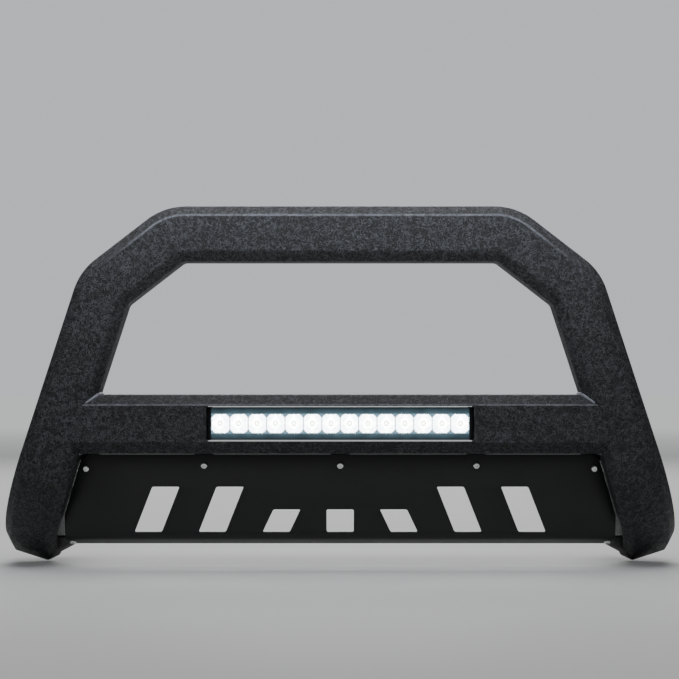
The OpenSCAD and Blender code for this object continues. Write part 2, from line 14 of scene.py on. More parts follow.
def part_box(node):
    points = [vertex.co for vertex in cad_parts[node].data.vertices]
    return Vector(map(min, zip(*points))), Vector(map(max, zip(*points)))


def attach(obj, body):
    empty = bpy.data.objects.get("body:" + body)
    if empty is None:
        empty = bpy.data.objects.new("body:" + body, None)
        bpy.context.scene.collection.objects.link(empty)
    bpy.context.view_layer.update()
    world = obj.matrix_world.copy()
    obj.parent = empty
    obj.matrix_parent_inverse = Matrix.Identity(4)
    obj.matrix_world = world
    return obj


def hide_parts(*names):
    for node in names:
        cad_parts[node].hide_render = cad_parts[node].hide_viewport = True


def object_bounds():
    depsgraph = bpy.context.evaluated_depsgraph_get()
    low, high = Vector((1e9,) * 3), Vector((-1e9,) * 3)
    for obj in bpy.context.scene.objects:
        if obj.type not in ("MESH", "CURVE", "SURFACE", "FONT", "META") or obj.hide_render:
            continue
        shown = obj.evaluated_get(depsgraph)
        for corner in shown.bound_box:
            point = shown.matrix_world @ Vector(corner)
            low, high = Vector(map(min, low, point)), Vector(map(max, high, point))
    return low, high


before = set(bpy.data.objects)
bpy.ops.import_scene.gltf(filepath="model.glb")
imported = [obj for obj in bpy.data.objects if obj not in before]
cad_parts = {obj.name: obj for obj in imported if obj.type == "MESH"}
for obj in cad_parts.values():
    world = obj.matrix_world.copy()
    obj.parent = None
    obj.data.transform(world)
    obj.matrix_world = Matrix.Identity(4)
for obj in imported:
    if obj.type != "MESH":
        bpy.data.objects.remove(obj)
CAD_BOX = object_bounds()

bl_info = {
    "name": "Front grille guard",
    "version": (1, 0, 0),
    "blender": (4, 5, 0),
    "location": "View3D > Sidebar > Guard",
    "description": "Builds a truck's front grille guard around its packed frame",
    "category": "Object",
}

MM = 0.001
X, Y, Z = Vector((1, 0, 0)), Vector((0, 1, 0)), Vector((0, 0, 1))
SIDES = (("left", 1), ("right", -1))


def _length(text, mm, what):
    """A length property, given in millimetres."""
    return FloatProperty(name=text, description=what, default=mm * MM, min=0.0, unit="LENGTH", precision=5)


def _angle(text, degrees, what):
    """An angle property, given in degrees."""
    return FloatProperty(name=text, description=what, default=math.radians(degrees), unit="ROTATION")


def _colour(text, rgb, what):
    """A colour property, given as linear red, green and blue."""
    return FloatVectorProperty(name=text, description=what, default=rgb, size=3, min=0, max=1, subtype="COLOR")


# ---------------------------------------------------------------- settings

class GuardTube(bpy.types.PropertyGroup):
    """Sizes of the hoop and the crossbar."""
    top: FloatProperty(name="Top", description="Height of the hoop's top edge",
                       default=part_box("hoop_shell")[1].z, unit="LENGTH")
    front: FloatProperty(name="Front", description="Position of the front faces",
                         default=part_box("hoop_shell")[0].y, unit="LENGTH")
    reach: _length("Rail reach", 252.5, "Centre line to the corner of rail and shoulder")
    run: _length("Shoulder run", 120.5, "Sideways run of the shoulder")
    drop: _length("Shoulder drop", 93.5, "Drop of the shoulder")
    leg: _length("Leg length", 270, "Shoulder corner to the foot bend")
    lean: _angle("Leg lean", 17.8, "Outward lean of the legs")
    width: _length("Tube width", 80, "Tube width seen from the front")
    depth: _length("Tube depth", 54, "Tube depth from front to back")
    chamfer: _length("Chamfer", 14, "Front chamfer")
    wall: _length("Sheet", 2.5, "Sheet thickness")
    fold: _length("Fold", 2.4, "Width of the rounding at each fold")
    inner_bend: _length("Inner bend", 12, "Shoulder bend radius on the inside")
    foot_bend: _length("Foot bend", 150, "Foot bend radius at the front face")
    foot_turn: _angle("Foot turn", 73, "Angle by which the foot sweeps back")
    foot: _length("Foot length", 51, "Straight length of the foot")
    bar_top: FloatProperty(name="Crossbar top", description="Height of the crossbar's top edge",
                           default=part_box("crossbar")[1].z, unit="LENGTH")
    bar_height: _length("Crossbar height", 85, "Height of the crossbar")
    window_width: _length("Window width", 380, "Width of the light window")
    window_height: _length("Window height", 50, "Height of the light window")


class GuardPlate(bpy.types.PropertyGroup):
    """Sizes of the skid plate."""
    top_y: FloatProperty(name="Top position", description="Position of the plate's top edge from front to back",
                         default=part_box("skid_plate")[0].y, unit="LENGTH")
    top_z: _length("Top height", 43, "Height of the plate's top edge")
    thickness: _length("Thickness", 3, "Sheet thickness")
    lean: _angle("Lean", 11.2, "Backward lean of the face")
    face: _length("Face", 121.6, "Length of the face down to its lower bend")
    flange_lean: _angle("Flange lean", 62, "Lean of the flange below the bend")
    flange: _length("Flange", 14, "Length of the flange")
    bend: _length("Bend", 6, "Inner bend radius")
    gap: _length("Gap", 1.2, "Gap between the plate and each leg")
    slot_pitch: _length("Slot pitch", 93.2, "Distance between the vent slots")
    slot_width: _length("Slot width", 39.5, "Width of a vent slot")
    slots_each_side: IntProperty(name="Slots each side", description="Vent slots on each side of the middle one",
                                 default=3, min=0, max=3)


class GuardLight(bpy.types.PropertyGroup):
    """Sizes and glow of the light bar."""
    count: IntProperty(name="Emitters", description="Number of emitters", default=14, min=1, max=14)
    pitch: _length("Pitch", 26.2, "Distance between emitters")
    glow: FloatProperty(name="Glow", description="Strength of the lit emitters", default=14.0, min=0)
    lit: BoolProperty(name="Lit", description="Whether the light bar is switched on", default=True)


class GuardFinish(bpy.types.PropertyGroup):
    """Colours of the finishes."""
    coat: _colour("Textured coat", (0.0018, 0.0019, 0.0024), "Textured black powder coat")
    fleck: _colour("Coat highlights", (0.084, 0.088, 0.104), "Crests of the textured coat")
    satin: _colour("Satin coat", (0.0034, 0.0035, 0.0043), "Satin black coat of the skid plate")
    zinc: _colour("Zinc", (0.88, 0.885, 0.89), "Bright zinc plate")
    anodised: _colour("Anodised", (0.012, 0.015, 0.018), "Black anodised aluminium")
    glow: _colour("Light colour", (0.93, 0.97, 1.0), "Colour of the lit emitters")
    # Colour of the painted glow on the housing's lips and, dimmed, in the reflector cups.
    painted_spill: _colour("Spill colour", (0.145, 0.245, 0.30), "Light caught by the bezel round the reflectors")
    floor: _colour("Floor", (0.60, 0.60, 0.595), "Pale studio floor")


class GuardSettings(bpy.types.PropertyGroup):
    """All the guard's settings."""
    tube: PointerProperty(name="Tube", description="Sizes of the hoop and the crossbar", type=GuardTube)
    plate: PointerProperty(name="Plate", description="Sizes of the skid plate", type=GuardPlate)
    light: PointerProperty(name="Light", description="Sizes and glow of the light bar", type=GuardLight)
    finish: PointerProperty(name="Finish", description="Colours of the finishes", type=GuardFinish)


def settings():
    """The guard's settings in the current scene."""
    return bpy.context.scene.guard


# ---------------------------------------------------------------- shared geometry of the guard

def in_plane(t):
    """Outward direction of the tube after it has turned by t from the rail."""
    return Vector((-math.sin(t), 0, math.cos(t)))


def along(t):
    """Direction of travel down the left half after it has turned by t."""
    return Vector((-math.cos(t), 0, -math.sin(t)))


class HoopPath:
    """Lengths, turns and corner points down the hoop's left half."""

    def __init__(self, s):
        self.shoulder_turn = math.atan2(s.drop, s.run)
        self.leg_turn = math.pi / 2 - s.lean - self.shoulder_turn
        outer = s.inner_bend + s.width
        set_rail = outer * math.tan(self.shoulder_turn / 2)
        set_leg = outer * math.tan(self.leg_turn / 2)
        self.rail = s.reach - set_rail
        self.shoulder = math.hypot(s.run, s.drop) - set_rail - set_leg
        self.leg = s.leg - set_leg
        self.lean_in = self.shoulder_turn + self.leg_turn
        self.bend_1 = Vector((-self.rail, s.front, s.top - outer))
        self.bend_2 = self.bend_1 + self.shoulder * along(self.shoulder_turn)
        self.leg_top = self.bend_2 + s.inner_bend * in_plane(self.lean_in)
        self.leg_foot = self.leg_top + self.leg * along(self.lean_in)
        self.foot_centre = self.leg_foot + s.foot_bend * Y
        self.foot_way = math.sin(s.foot_turn) * Y + math.cos(s.foot_turn) * along(self.lean_in)


def inner_wall_x(s, z):
    """Distance from the centre line to a leg's inner wall at height z."""
    corner_x, corner_z = s.reach + s.run, s.top - s.drop
    return corner_x + (corner_z - z) * math.tan(s.lean) - s.width / math.cos(s.lean)


def plate_frame(p):
    """Frame of the skid plate's face: Y into the plate and Z up its face."""
    return Matrix.Translation((0, p.top_y, p.top_z)) @ Matrix.Rotation(p.lean, 4, "X")


def flange_frame(p):
    """Frame of the flange below the plate's bend."""
    r = p.bend + p.thickness
    return (plate_frame(p) @ Matrix.Translation((0, r, -p.face))
            @ Matrix.Rotation(p.flange_lean - p.lean, 4, "X") @ Matrix.Translation((0, -r, 0)))


OUT_OF_PLATE = Matrix.Rotation(math.pi / 2, 4, "X")
TOP_SCREWS = ((0, 16), (197, 16), (-197, 16), (368, 20.5), (-368, 20.5))
BOTTOM_SCREW = (391, 6.5)


def skid_screw_frames(p):
    """Each skid screw's frame, with Z out of the plate, and the thickness that it clamps."""
    tab = 3 * MM
    foot_tab = 4 * MM
    for x, down in TOP_SCREWS:
        yield plate_frame(p) @ Matrix.Translation((x * MM, 0, -down * MM)) @ OUT_OF_PLATE, p.thickness + tab
    for side in (-1, 1):
        place = Matrix.Translation((side * BOTTOM_SCREW[0] * MM, 0, -BOTTOM_SCREW[1] * MM))
        yield flange_frame(p) @ place @ OUT_OF_PLATE, p.thickness + foot_tab


# ---------------------------------------------------------------- mesh helpers

def edges_of(geom):
    return [g for g in geom if isinstance(g, bmesh.types.BMEdge)]


def verts_of(geom):
    return [g for g in geom if isinstance(g, bmesh.types.BMVert)]


def once(items):
    """The items without repeats, always in the same order."""
    return list(dict.fromkeys(items))


def outline(bm, points, rounding=(), segments=4):
    """Closed loop of edges through the points, with corners rounded by the widths given, in a face."""
    verts = [bm.verts.new(p) for p in points]
    bm.faces.new(verts).material_index = 1
    for width in sorted(set(rounding)):
        picked = [v for v, r in zip(verts, rounding) if r == width]
        if width > 0:
            bmesh.ops.bevel(bm, geom=picked, offset=width, offset_type="OFFSET", segments=segments,
                            profile=0.5, affect="VERTICES", material=-1)
    face = next(f for f in bm.faces if f.material_index == 1)
    face.material_index = 0
    return face


def mark_fold_highlights(bm, edges, above):
    """Marks the middle of each upper rounded fold in a section, where the coat gets a painted highlight."""
    fold = bm.verts.layers.float.new("fold")
    for v in once(v for e in edges for v in e.verts if v.co.z > above):
        if len(v.link_edges) == 2 and all(e.calc_length() < 2 * MM for e in v.link_edges):
            v[fold] = 1.0


def run_on(bm, ring, step):
    """Extrudes a ring of edges by a step and gives the new ring."""
    made = bmesh.ops.extrude_edge_only(bm, edges=ring)["geom"]
    fresh = verts_of(made)
    bmesh.ops.translate(bm, verts=fresh, vec=step)
    known = set(fresh)
    return [e for e in edges_of(made) if e.verts[0] in known and e.verts[1] in known]


def turn_on(bm, ring, centre, axis, angle, steps):
    """Sweeps a ring of edges round an axis and gives the last ring."""
    verts = once(v for e in ring for v in e.verts)
    made = bmesh.ops.spin(bm, geom=verts + ring, cent=centre, axis=axis, angle=angle, steps=steps,
                          use_merge=False, use_duplicate=False)
    return edges_of(made["geom_last"])


def all_of(bm):
    return bm.verts[:] + bm.edges[:] + bm.faces[:]


def weld_up(bm, distance=1e-6):
    """Merges doubles and turns every face outwards."""
    bmesh.ops.remove_doubles(bm, verts=bm.verts[:], dist=distance)
    bmesh.ops.recalc_face_normals(bm, faces=bm.faces[:])


def ease_edges(bm, width, segments=2, sharper_than=40, edges=None):
    """Rounds the edges where faces meet at more than an angle."""
    limit = math.radians(sharper_than)
    picked = [e for e in (edges or bm.edges) if len(e.link_faces) == 2 and e.calc_face_angle() > limit]
    bmesh.ops.bevel(bm, geom=picked, offset=width, offset_type="OFFSET", segments=segments, profile=0.5,
                    affect="EDGES", material=-1, clamp_overlap=True)


def lathe(profile, segments=32):
    """Turned piece about Z, from (radius, height) points in millimetres."""
    bm = bmesh.new()
    verts = [bm.verts.new((r * MM, 0, h * MM)) for r, h in profile]
    edges = [bm.edges.new(pair) for pair in zip(verts, verts[1:])]
    bmesh.ops.spin(bm, geom=verts + edges, cent=(0, 0, 0), axis=(0, 0, 1), angle=math.tau,
                   steps=segments, use_merge=True, use_duplicate=False)
    weld_up(bm)
    return bm


def placed(bm, matrix):
    bmesh.ops.transform(bm, matrix=matrix, verts=bm.verts[:])
    if matrix.determinant() < 0:
        bmesh.ops.reverse_faces(bm, faces=bm.faces[:])
    return bm


def joined(parts):
    """One bmesh holding all the given ones, which are freed."""
    whole = bmesh.new()
    for part in parts:
        mesh = bpy.data.meshes.new("part")
        part.to_mesh(mesh)
        whole.from_mesh(mesh)
        bpy.data.meshes.remove(mesh)
        part.free()
    return whole


def copies(make, matrices):
    """The same piece at each of several places."""
    return joined([placed(make(), m) for m in matrices])


MIRRORED = Matrix.Scale(-1, 4, X)


def on_side(side):
    """Leaves the left side alone and mirrors it for the right."""
    return Matrix.Identity(4) if side > 0 else MIRRORED


def from_node(node, width=0.0, segments=2, sharper_than=40):
    """Merged copy of a CAD node with its sharp edges eased."""
    bm = bmesh.new()
    bm.from_mesh(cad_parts[node].data)
    bmesh.ops.remove_doubles(bm, verts=bm.verts[:], dist=2e-6)
    bmesh.ops.dissolve_limit(bm, angle_limit=math.radians(0.4), verts=bm.verts[:], edges=bm.edges[:],
                             use_dissolve_boundaries=False)
    if width > 0:
        ease_edges(bm, width * MM, segments, sharper_than)
    return bm


def finish_piece(name, bm, maker, body, *replaces, smooth=35):
    """Makes the object, shades it, gives it its finish and fixes it to its body."""
    mesh = bpy.data.meshes.new(name)
    bm.to_mesh(mesh)
    bm.free()
    mesh.polygons.foreach_set("use_smooth", [True] * len(mesh.polygons))
    mesh.set_sharp_from_angle(angle=math.radians(smooth))
    piece = bpy.data.objects.new(name, mesh)
    bpy.context.scene.collection.objects.link(piece)
    mesh.materials.append(finish(maker))
    if body:
        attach(piece, body)
    if replaces:
        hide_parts(*replaces)
    return piece


def eased_piece(name, node, maker, body, width, segments=2):
    """A CAD node's shape with its sharp edges eased by a width in millimetres."""
    finish_piece(name, from_node(node, width, segments), maker, body, node)


def recoat(node, maker):
    """Gives a CAD node another material."""
    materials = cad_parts[node].data.materials
    materials.clear()
    materials.append(finish(maker))


# ---------------------------------------------------------------- node groups and finishes

def new_group(name, inputs, outputs):
    """Node group with its sockets, its input node and its output node."""
    group = bpy.data.node_groups.new(name, "ShaderNodeTree")
    for socket, kind, value in inputs:
        made = group.interface.new_socket(name=socket, in_out="INPUT", socket_type=kind)
        if value is not None:
            made.default_value = value
    for socket, kind in outputs:
        group.interface.new_socket(name=socket, in_out="OUTPUT", socket_type=kind)
    return group, group.nodes.new("NodeGroupInput"), group.nodes.new("NodeGroupOutput")


class Wiring:
    """Short ways to add and join nodes in one tree."""

    def __init__(self, tree):
        self.tree = tree

    def node(self, kind, **values):
        made = self.tree.nodes.new("ShaderNode" + kind)
        for key, value in values.items():
            if key in made.bl_rna.properties:
                setattr(made, key, value)
            else:
                made.inputs[key.replace("_", " ")].default_value = value
        return made

    def join(self, source, target):
        self.tree.links.new(source, target)
        return target

    def feed(self, socket, value):
        """Joins a source to a socket, or sets the socket to a constant."""
        if isinstance(value, bpy.types.NodeSocket):
            self.join(value, socket)
        elif value is not None:
            socket.default_value = value

    def fill(self, shader, **values):
        """Feeds a shader's own sockets, named with _ for a space."""
        for key, value in values.items():
            self.feed(shader.inputs[key.replace("_", " ")], value)

    def maths(self, operation, a, b=None):
        made = self.node("Math", operation=operation)
        self.feed(made.inputs[0], a)
        self.feed(made.inputs[1], b)
        return made.outputs[0]

    def product(self, first, *others):
        for other in others:
            first = self.maths("MULTIPLY", first, other)
        return first

    def between(self, value, low, high, to_low=0.0, to_high=1.0):
        made = self.node("MapRange", From_Min=low, From_Max=high, To_Min=to_low, To_Max=to_high)
        self.join(value, made.inputs["Value"])
        return made.outputs[0]

    def mix(self, factor, a, b):
        made = self.node("Mix", data_type="RGBA")
        for index, value in ((0, factor), (6, a), (7, b)):
            self.feed(made.inputs[index], value)
        return made.outputs[2]

    def noise(self, vector, scale, detail=2.0, rough=0.5, distortion=0.0):
        made = self.node("TexNoise")
        self.fill(made, Vector=vector, Scale=scale, Detail=detail, Roughness=rough, Distortion=distortion)
        return made.outputs["Fac"]


def coat_grain_group():
    """Wrinkle of a textured powder coat: its height and a mask of its crests."""
    group, given, out = new_group(
        "coat_grain",
        [("Vector", "NodeSocketVector", None), ("Scale", "NodeSocketFloat", 330.0),
         ("Coarseness", "NodeSocketFloat", 0.5)],
        [("Height", "NodeSocketFloat"), ("Crests", "NodeSocketFloat")],
    )
    w = Wiring(group)
    vector, scale = given.outputs["Vector"], given.outputs["Scale"]
    folds = w.noise(vector, scale, detail=2.0, rough=0.55, distortion=0.9)
    ridge = w.between(w.maths("ABSOLUTE", w.maths("SUBTRACT", folds, 0.5)), 0.13, 0.02)
    fine = w.noise(vector, w.product(scale, 3.1), detail=2.0, rough=0.6)
    patches = w.noise(vector, w.product(scale, 0.55), detail=1.0)
    broken = w.between(patches, 0.30, 0.60, 0.6, 1.0)
    crest = w.product(ridge, broken, w.between(fine, 0.25, 0.6, 0.45, 1.0))
    height = w.maths("ADD", w.product(crest, 0.75), w.product(fine, 0.25))
    w.join(w.maths("ADD", height, w.product(patches, given.outputs["Coarseness"])), out.inputs["Height"])
    w.join(w.between(crest, 0.38, 0.85), out.inputs["Crests"])
    return group


def handling_group():
    """Cloudy marks of handling and thin dust: a mask from 0 to 1."""
    group, given, out = new_group(
        "handling", [("Vector", "NodeSocketVector", None), ("Scale", "NodeSocketFloat", 9.0)],
        [("Mask", "NodeSocketFloat"), ("Specks", "NodeSocketFloat")],
    )
    w = Wiring(group)
    vector, scale = given.outputs["Vector"], given.outputs["Scale"]
    cloud = w.noise(vector, scale, detail=4.0, rough=0.6, distortion=0.4)
    w.join(w.between(cloud, 0.35, 0.72), out.inputs["Mask"])
    specks = w.noise(vector, w.product(scale, 90.0), detail=1.0)
    w.join(w.between(specks, 0.74, 0.80), out.inputs["Specks"])
    return group


def edge_wear_and_sheen_group():
    """Mask of edges that stand proud, broken up by noise."""
    group, given, out = new_group(
        "edge_wear_and_sheen", [("Vector", "NodeSocketVector", None), ("Width", "NodeSocketFloat", 0.0012)],
        [("Mask", "NodeSocketFloat")],
    )
    w = Wiring(group)
    bevel = group.nodes.new("ShaderNodeBevel")
    bevel.samples = 4
    w.join(given.outputs["Width"], bevel.inputs["Radius"])
    plain = group.nodes.new("ShaderNodeNewGeometry")
    dot = group.nodes.new("ShaderNodeVectorMath")
    dot.operation = "DOT_PRODUCT"
    w.join(bevel.outputs[0], dot.inputs[0])
    w.join(plain.outputs["Normal"], dot.inputs[1])
    bent = w.between(dot.outputs["Value"], 0.999, 0.94)
    broken = w.between(w.noise(given.outputs["Vector"], 260.0, detail=3.0), 0.40, 0.62)
    w.join(w.product(bent, broken), out.inputs["Mask"])
    return group


_groups = {}
_finishes = {}


def group_node(w, maker, vector, **values):
    """Places a shared group in a material, building it the first time."""
    if maker not in _groups:
        _groups[maker] = maker()
    made = w.tree.nodes.new("ShaderNodeGroup")
    made.node_tree = _groups[maker]
    w.join(vector, made.inputs["Vector"])
    for key, value in values.items():
        made.inputs[key].default_value = value
    return made


def new_finish(name):
    """Empty material with a Principled shader, its wiring and its object coordinates."""
    material = bpy.data.materials.new(name)
    material.use_nodes = True
    w = Wiring(material.node_tree)
    shader = next(n for n in w.tree.nodes if n.type == "BSDF_PRINCIPLED")
    coordinates = w.node("TexCoord").outputs["Object"]
    return material, w, shader, coordinates


def add_bump(w, shader, height, strength, distance):
    """Roughens the surface; distance is the relief's depth in metres."""
    bump = w.node("Bump", Strength=strength, Distance=distance)
    w.join(height, bump.inputs["Height"])
    w.join(bump.outputs[0], shader.inputs["Normal"])


def rgba(colour, scale=1.0):
    """A colour with its alpha, scaled in brightness."""
    return (colour[0] * scale, colour[1] * scale, colour[2] * scale, 1.0)


def textured_coat():
    """Textured black powder coat of the hoop, the crossbar and what is welded to them, with a painted highlight along
    the upper folds.
    """
    f = settings().finish
    material, w, shader, at = new_finish("textured_black_coat")
    grain = group_node(w, coat_grain_group, at, Scale=265.0, Coarseness=0.1)
    marks = group_node(w, handling_group, at, Scale=7.0)
    colour = w.mix(grain.outputs["Crests"], rgba(f.coat), rgba(f.fleck))
    faded = w.mix(w.product(marks.outputs["Mask"], 0.2), colour, rgba(f.fleck, 0.12))
    # Painted highlight: marked upper folds get a much lighter colour, broken up by noise, and a slightly smoother
    # coat.
    fold = w.product(w.node("Attribute", attribute_name="fold").outputs["Fac"],
                   w.between(w.noise(at, 170.0, detail=2.0), 0.32, 0.62, 0.3, 0.9))
    w.fill(shader, Base_Color=w.mix(fold, faded, rgba(f.fleck, 1.9)))
    rough = w.between(grain.outputs["Height"], 0.2, 1.0, 0.62, 0.42)
    w.fill(shader, Roughness=w.maths("SUBTRACT", rough, w.product(fold, 0.15)), Specular_IOR_Level=0.5)
    add_bump(w, shader, grain.outputs["Height"], 0.85, 0.0011)
    return material


def satin_coat():
    """Smooth satin black coat of the skid plate and the brackets, with a painted highlight along its proud edges."""
    f = settings().finish
    material, w, shader, at = new_finish("satin_black_coat")
    marks = group_node(w, handling_group, at, Scale=6.0)
    wear_and_sheen = group_node(w, edge_wear_and_sheen_group, at, Width=0.0008)
    peel = w.noise(at, 520.0, detail=2.0)
    colour = w.mix(w.product(marks.outputs["Mask"], 0.4), rgba(f.satin), rgba(f.satin, 1.7))
    # Painted highlight: the proud edges are lightened towards a pale grey.
    colour = w.mix(w.product(wear_and_sheen.outputs["Mask"], 0.5), colour, rgba(f.fleck, 1.2))
    colour = w.mix(w.product(marks.outputs["Specks"], 0.35), colour, (0.09, 0.09, 0.095, 1))
    w.fill(shader, Base_Color=colour, Roughness=w.between(marks.outputs["Mask"], 0.0, 1.0, 0.36, 0.46))
    add_bump(w, shader, peel, 0.12, 0.0004)
    return material


def bright_zinc():
    """Bright zinc plate of the screws, nuts and washers."""
    f = settings().finish
    material, w, shader, at = new_finish("bright_zinc")
    marks = group_node(w, handling_group, at, Scale=160.0)
    wear_and_sheen = group_node(w, edge_wear_and_sheen_group, at, Width=0.0004)
    colour = w.mix(w.product(marks.outputs["Mask"], 0.5), rgba(f.zinc), rgba(f.zinc, 0.72))
    colour = w.mix(wear_and_sheen.outputs["Mask"], colour, (0.86, 0.86, 0.85, 1))
    w.fill(shader, Base_Color=colour, Metallic=1.0, Roughness=w.between(marks.outputs["Mask"], 0, 1, 0.14, 0.27))
    add_bump(w, shader, w.noise(at, 2600.0, detail=2.0), 0.10, 0.0001)
    return material


def anodised(name, worn):
    """Black anodised aluminium: its material, with bare metal on its edges where it is worn."""
    f = settings().finish
    material, w, shader, at = new_finish(name)
    marks = group_node(w, handling_group, at, Scale=26.0)
    colour = w.mix(w.product(marks.outputs["Mask"], 0.4), rgba(f.anodised), rgba(f.anodised, 1.8))
    if worn:
        wear_and_sheen = group_node(w, edge_wear_and_sheen_group, at, Width=0.0005)
        colour = w.mix(w.product(wear_and_sheen.outputs["Mask"], 0.6), colour, (0.16, 0.17, 0.18, 1))
    w.fill(shader, Base_Color=colour, Metallic=0.65, Roughness=w.between(marks.outputs["Mask"], 0, 1, 0.36, 0.48))
    add_bump(w, shader, w.noise(at, 1500.0, detail=2.0), 0.10, 0.0002)
    return material, w, shader, at


def black_anodised():
    """Black anodised aluminium of the end caps and the vent plug."""
    return anodised("black_anodised", True)[0]


def lit_housing():
    """Black anodised housing with a painted glow on its front lips, where they face the reflectors."""
    s = settings()
    material, w, shader, at = anodised("lit_housing", False)
    low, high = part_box("light_reflector")
    # Painted glow: emission on the lips near the reflectors stands in for the light they would catch.
    middle, half = (low.z + high.z) / 2, (high.z - low.z) / 2
    axes = w.node("SeparateXYZ")
    w.join(at, axes.inputs[0])
    off = w.maths("ABSOLUTE", w.maths("SUBTRACT", axes.outputs["Z"], middle))
    near = w.between(off, half * 1.75, half * 1.0)
    across = w.between(w.maths("ABSOLUTE", axes.outputs["X"]), high.x + 5 * MM, high.x - 3 * MM)
    front = w.between(axes.outputs["Y"], low.y + 4 * MM, low.y)
    ripple = w.between(w.noise(at, 45.0, detail=2.0), 0.3, 0.7, 0.55, 1.0)
    mask = w.product(w.product(near, across), w.product(ripple, front))
    w.fill(shader, Emission_Color=w.mix(mask, (0, 0, 0, 1), rgba(s.finish.painted_spill)),
           Emission_Strength=0.75 if s.light.lit else 0.0)
    return material


def metallised():
    """Vacuum-metallised reflector cups with a painted glow, brightest near their emitters, with thin darker arcs and a
    dim glow elsewhere.
    """
    s = settings()
    f = s.finish
    material, w, shader, at = new_finish("metallised_reflector")
    low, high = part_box("light_reflector")
    axes = w.node("SeparateXYZ")
    w.join(at, axes.inputs[0])
    ripple = w.noise(at, 210.0, detail=3.0, rough=0.7, distortion=1.2)
    deep = w.between(axes.outputs["Y"], low.y + 0.3 * MM, low.y + 2.6 * MM)
    cell = w.maths("FRACT", w.maths("ADD", w.maths("DIVIDE", axes.outputs["X"], s.light.pitch), 40.0))
    across = w.product(w.maths("SUBTRACT", cell, 0.5), s.light.pitch)
    up = w.maths("SUBTRACT", axes.outputs["Z"], (low.z + high.z) / 2)
    out = w.maths("SQRT", w.maths("ADD", w.maths("POWER", across, 2.0), w.maths("POWER", up, 2.0)))
    band = w.between(w.maths("ABSOLUTE", w.maths("SUBTRACT", out, 9.0 * MM)), 0.7 * MM, 0.2 * MM)
    arcs = w.product(band, w.between(w.noise(at, 95.0, detail=1.0), 0.50, 0.56))
    # Painted glow: the cups emit light of their own, brightest deep inside, cut by thin darker arcs, and dimly
    # elsewhere.
    painted_flare = w.product(deep, w.maths("SUBTRACT", 1.0, w.product(arcs, 0.9)))
    painted_flare = w.product(painted_flare, w.between(ripple, 0.30, 0.42, 0.35, 1.0))
    painted_flare = w.product(painted_flare, w.between(w.maths("ABSOLUTE", up), 13.5 * MM, 13.0 * MM))
    painted_flare = w.product(painted_flare, w.between(w.maths("ABSOLUTE", across), 12.9 * MM, 12.5 * MM))
    w.fill(shader, Base_Color=(0.86, 0.88, 0.90, 1), Metallic=1.0, Roughness=w.between(ripple, 0.3, 0.7, 0.05, 0.16))
    w.fill(shader, Emission_Color=w.mix(painted_flare, rgba(f.painted_spill, 0.10), rgba(f.glow)))
    w.fill(shader, Emission_Strength=5.2 if s.light.lit else 0.0)
    add_bump(w, shader, ripple, 0.35, 0.0008)
    return material


def lit_emitter():
    """Phosphor under a clear dome."""
    s = settings()
    material, w, shader, at = new_finish("lit_emitter")
    speck = w.noise(at, 2500.0, detail=1.0)
    w.fill(shader, Base_Color=(0.95, 0.85, 0.45, 1))
    w.fill(shader, Emission_Color=w.mix(speck, rgba(s.finish.glow), (1.0, 0.97, 0.88, 1)))
    w.fill(shader, Emission_Strength=s.light.glow if s.light.lit else 0.0)
    return material


def clear_cover():
    """Clear moulded cover."""
    material, w, shader, at = new_finish("clear_cover")
    w.fill(shader, Base_Color=(0.97, 0.99, 1.0, 1), Transmission_Weight=1.0, IOR=1.45)
    smear = w.noise(at, 30.0, detail=3.0)
    w.fill(shader, Roughness=w.between(smear, 0.3, 0.8, 0.01, 0.05))
    return material


def black_rubber():
    """Matt black rubber."""
    material, w, shader, at = new_finish("black_rubber")
    marks = group_node(w, handling_group, at, Scale=60.0)
    w.fill(shader, Base_Color=w.mix(marks.outputs["Mask"], (0.012, 0.012, 0.012, 1), (0.03, 0.03, 0.029, 1)))
    w.fill(shader, Roughness=w.between(marks.outputs["Mask"], 0, 1, 0.62, 0.82))
    add_bump(w, shader, w.noise(at, 1800.0), 0.2, 0.0002)
    return material


def circuit_board(name, mask, copper):
    """Solder mask with pale copper areas under it."""
    material, w, shader, at = new_finish(name)
    lands = w.between(w.noise(at, 150.0, detail=0.0), 0.5, 0.53)
    w.fill(shader, Base_Color=w.mix(lands, mask, copper), Roughness=w.between(lands, 0, 1, 0.34, 0.28))
    add_bump(w, shader, lands, 0.2, 0.0001)
    return material


def white_board():
    return circuit_board("white_board", (0.78, 0.80, 0.78, 1), (0.70, 0.71, 0.66, 1))


def green_board():
    return circuit_board("green_board", (0.01, 0.09, 0.04, 1), (0.02, 0.14, 0.06, 1))


def highlighted_weld():
    """Coated weld bead, smoother than the coat beside it and given a painted highlight that makes it much lighter."""
    f = settings().finish
    material, w, shader, at = new_finish("coated_weld_highlight")
    grain = group_node(w, coat_grain_group, at, Scale=900.0, Coarseness=0.2)
    # Painted highlight: the bead's colour is far lighter than the coat, so it reads as a lit ridge.
    w.fill(shader, Base_Color=w.mix(grain.outputs["Crests"], rgba(f.fleck, 2.2), rgba(f.fleck, 3.4)))
    w.fill(shader, Roughness=w.between(grain.outputs["Height"], 0.2, 1.0, 0.40, 0.28))
    add_bump(w, shader, grain.outputs["Height"], 0.3, 0.0004)
    return material


def finish(maker):
    """The finished material, built the first time it is asked for."""
    if maker not in _finishes:
        _finishes[maker] = maker()
    return _finishes[maker]


# ---------------------------------------------------------------- fasteners

def thread(radius, top, length, pitch):
    """Profile of a threaded shank, from just under the head down to its chamfered end."""
    points = [(radius, top)]
    turns = int((length - 1.5) / pitch)
    start = top - 1.0
    for i in range(turns):
        points += [(radius, start - i * pitch), (radius * 0.86, start - (i + 0.5) * pitch)]
    bottom = top - length
    return points + [(radius, bottom + radius * 0.25), (radius * 0.78, bottom), (0, bottom)]


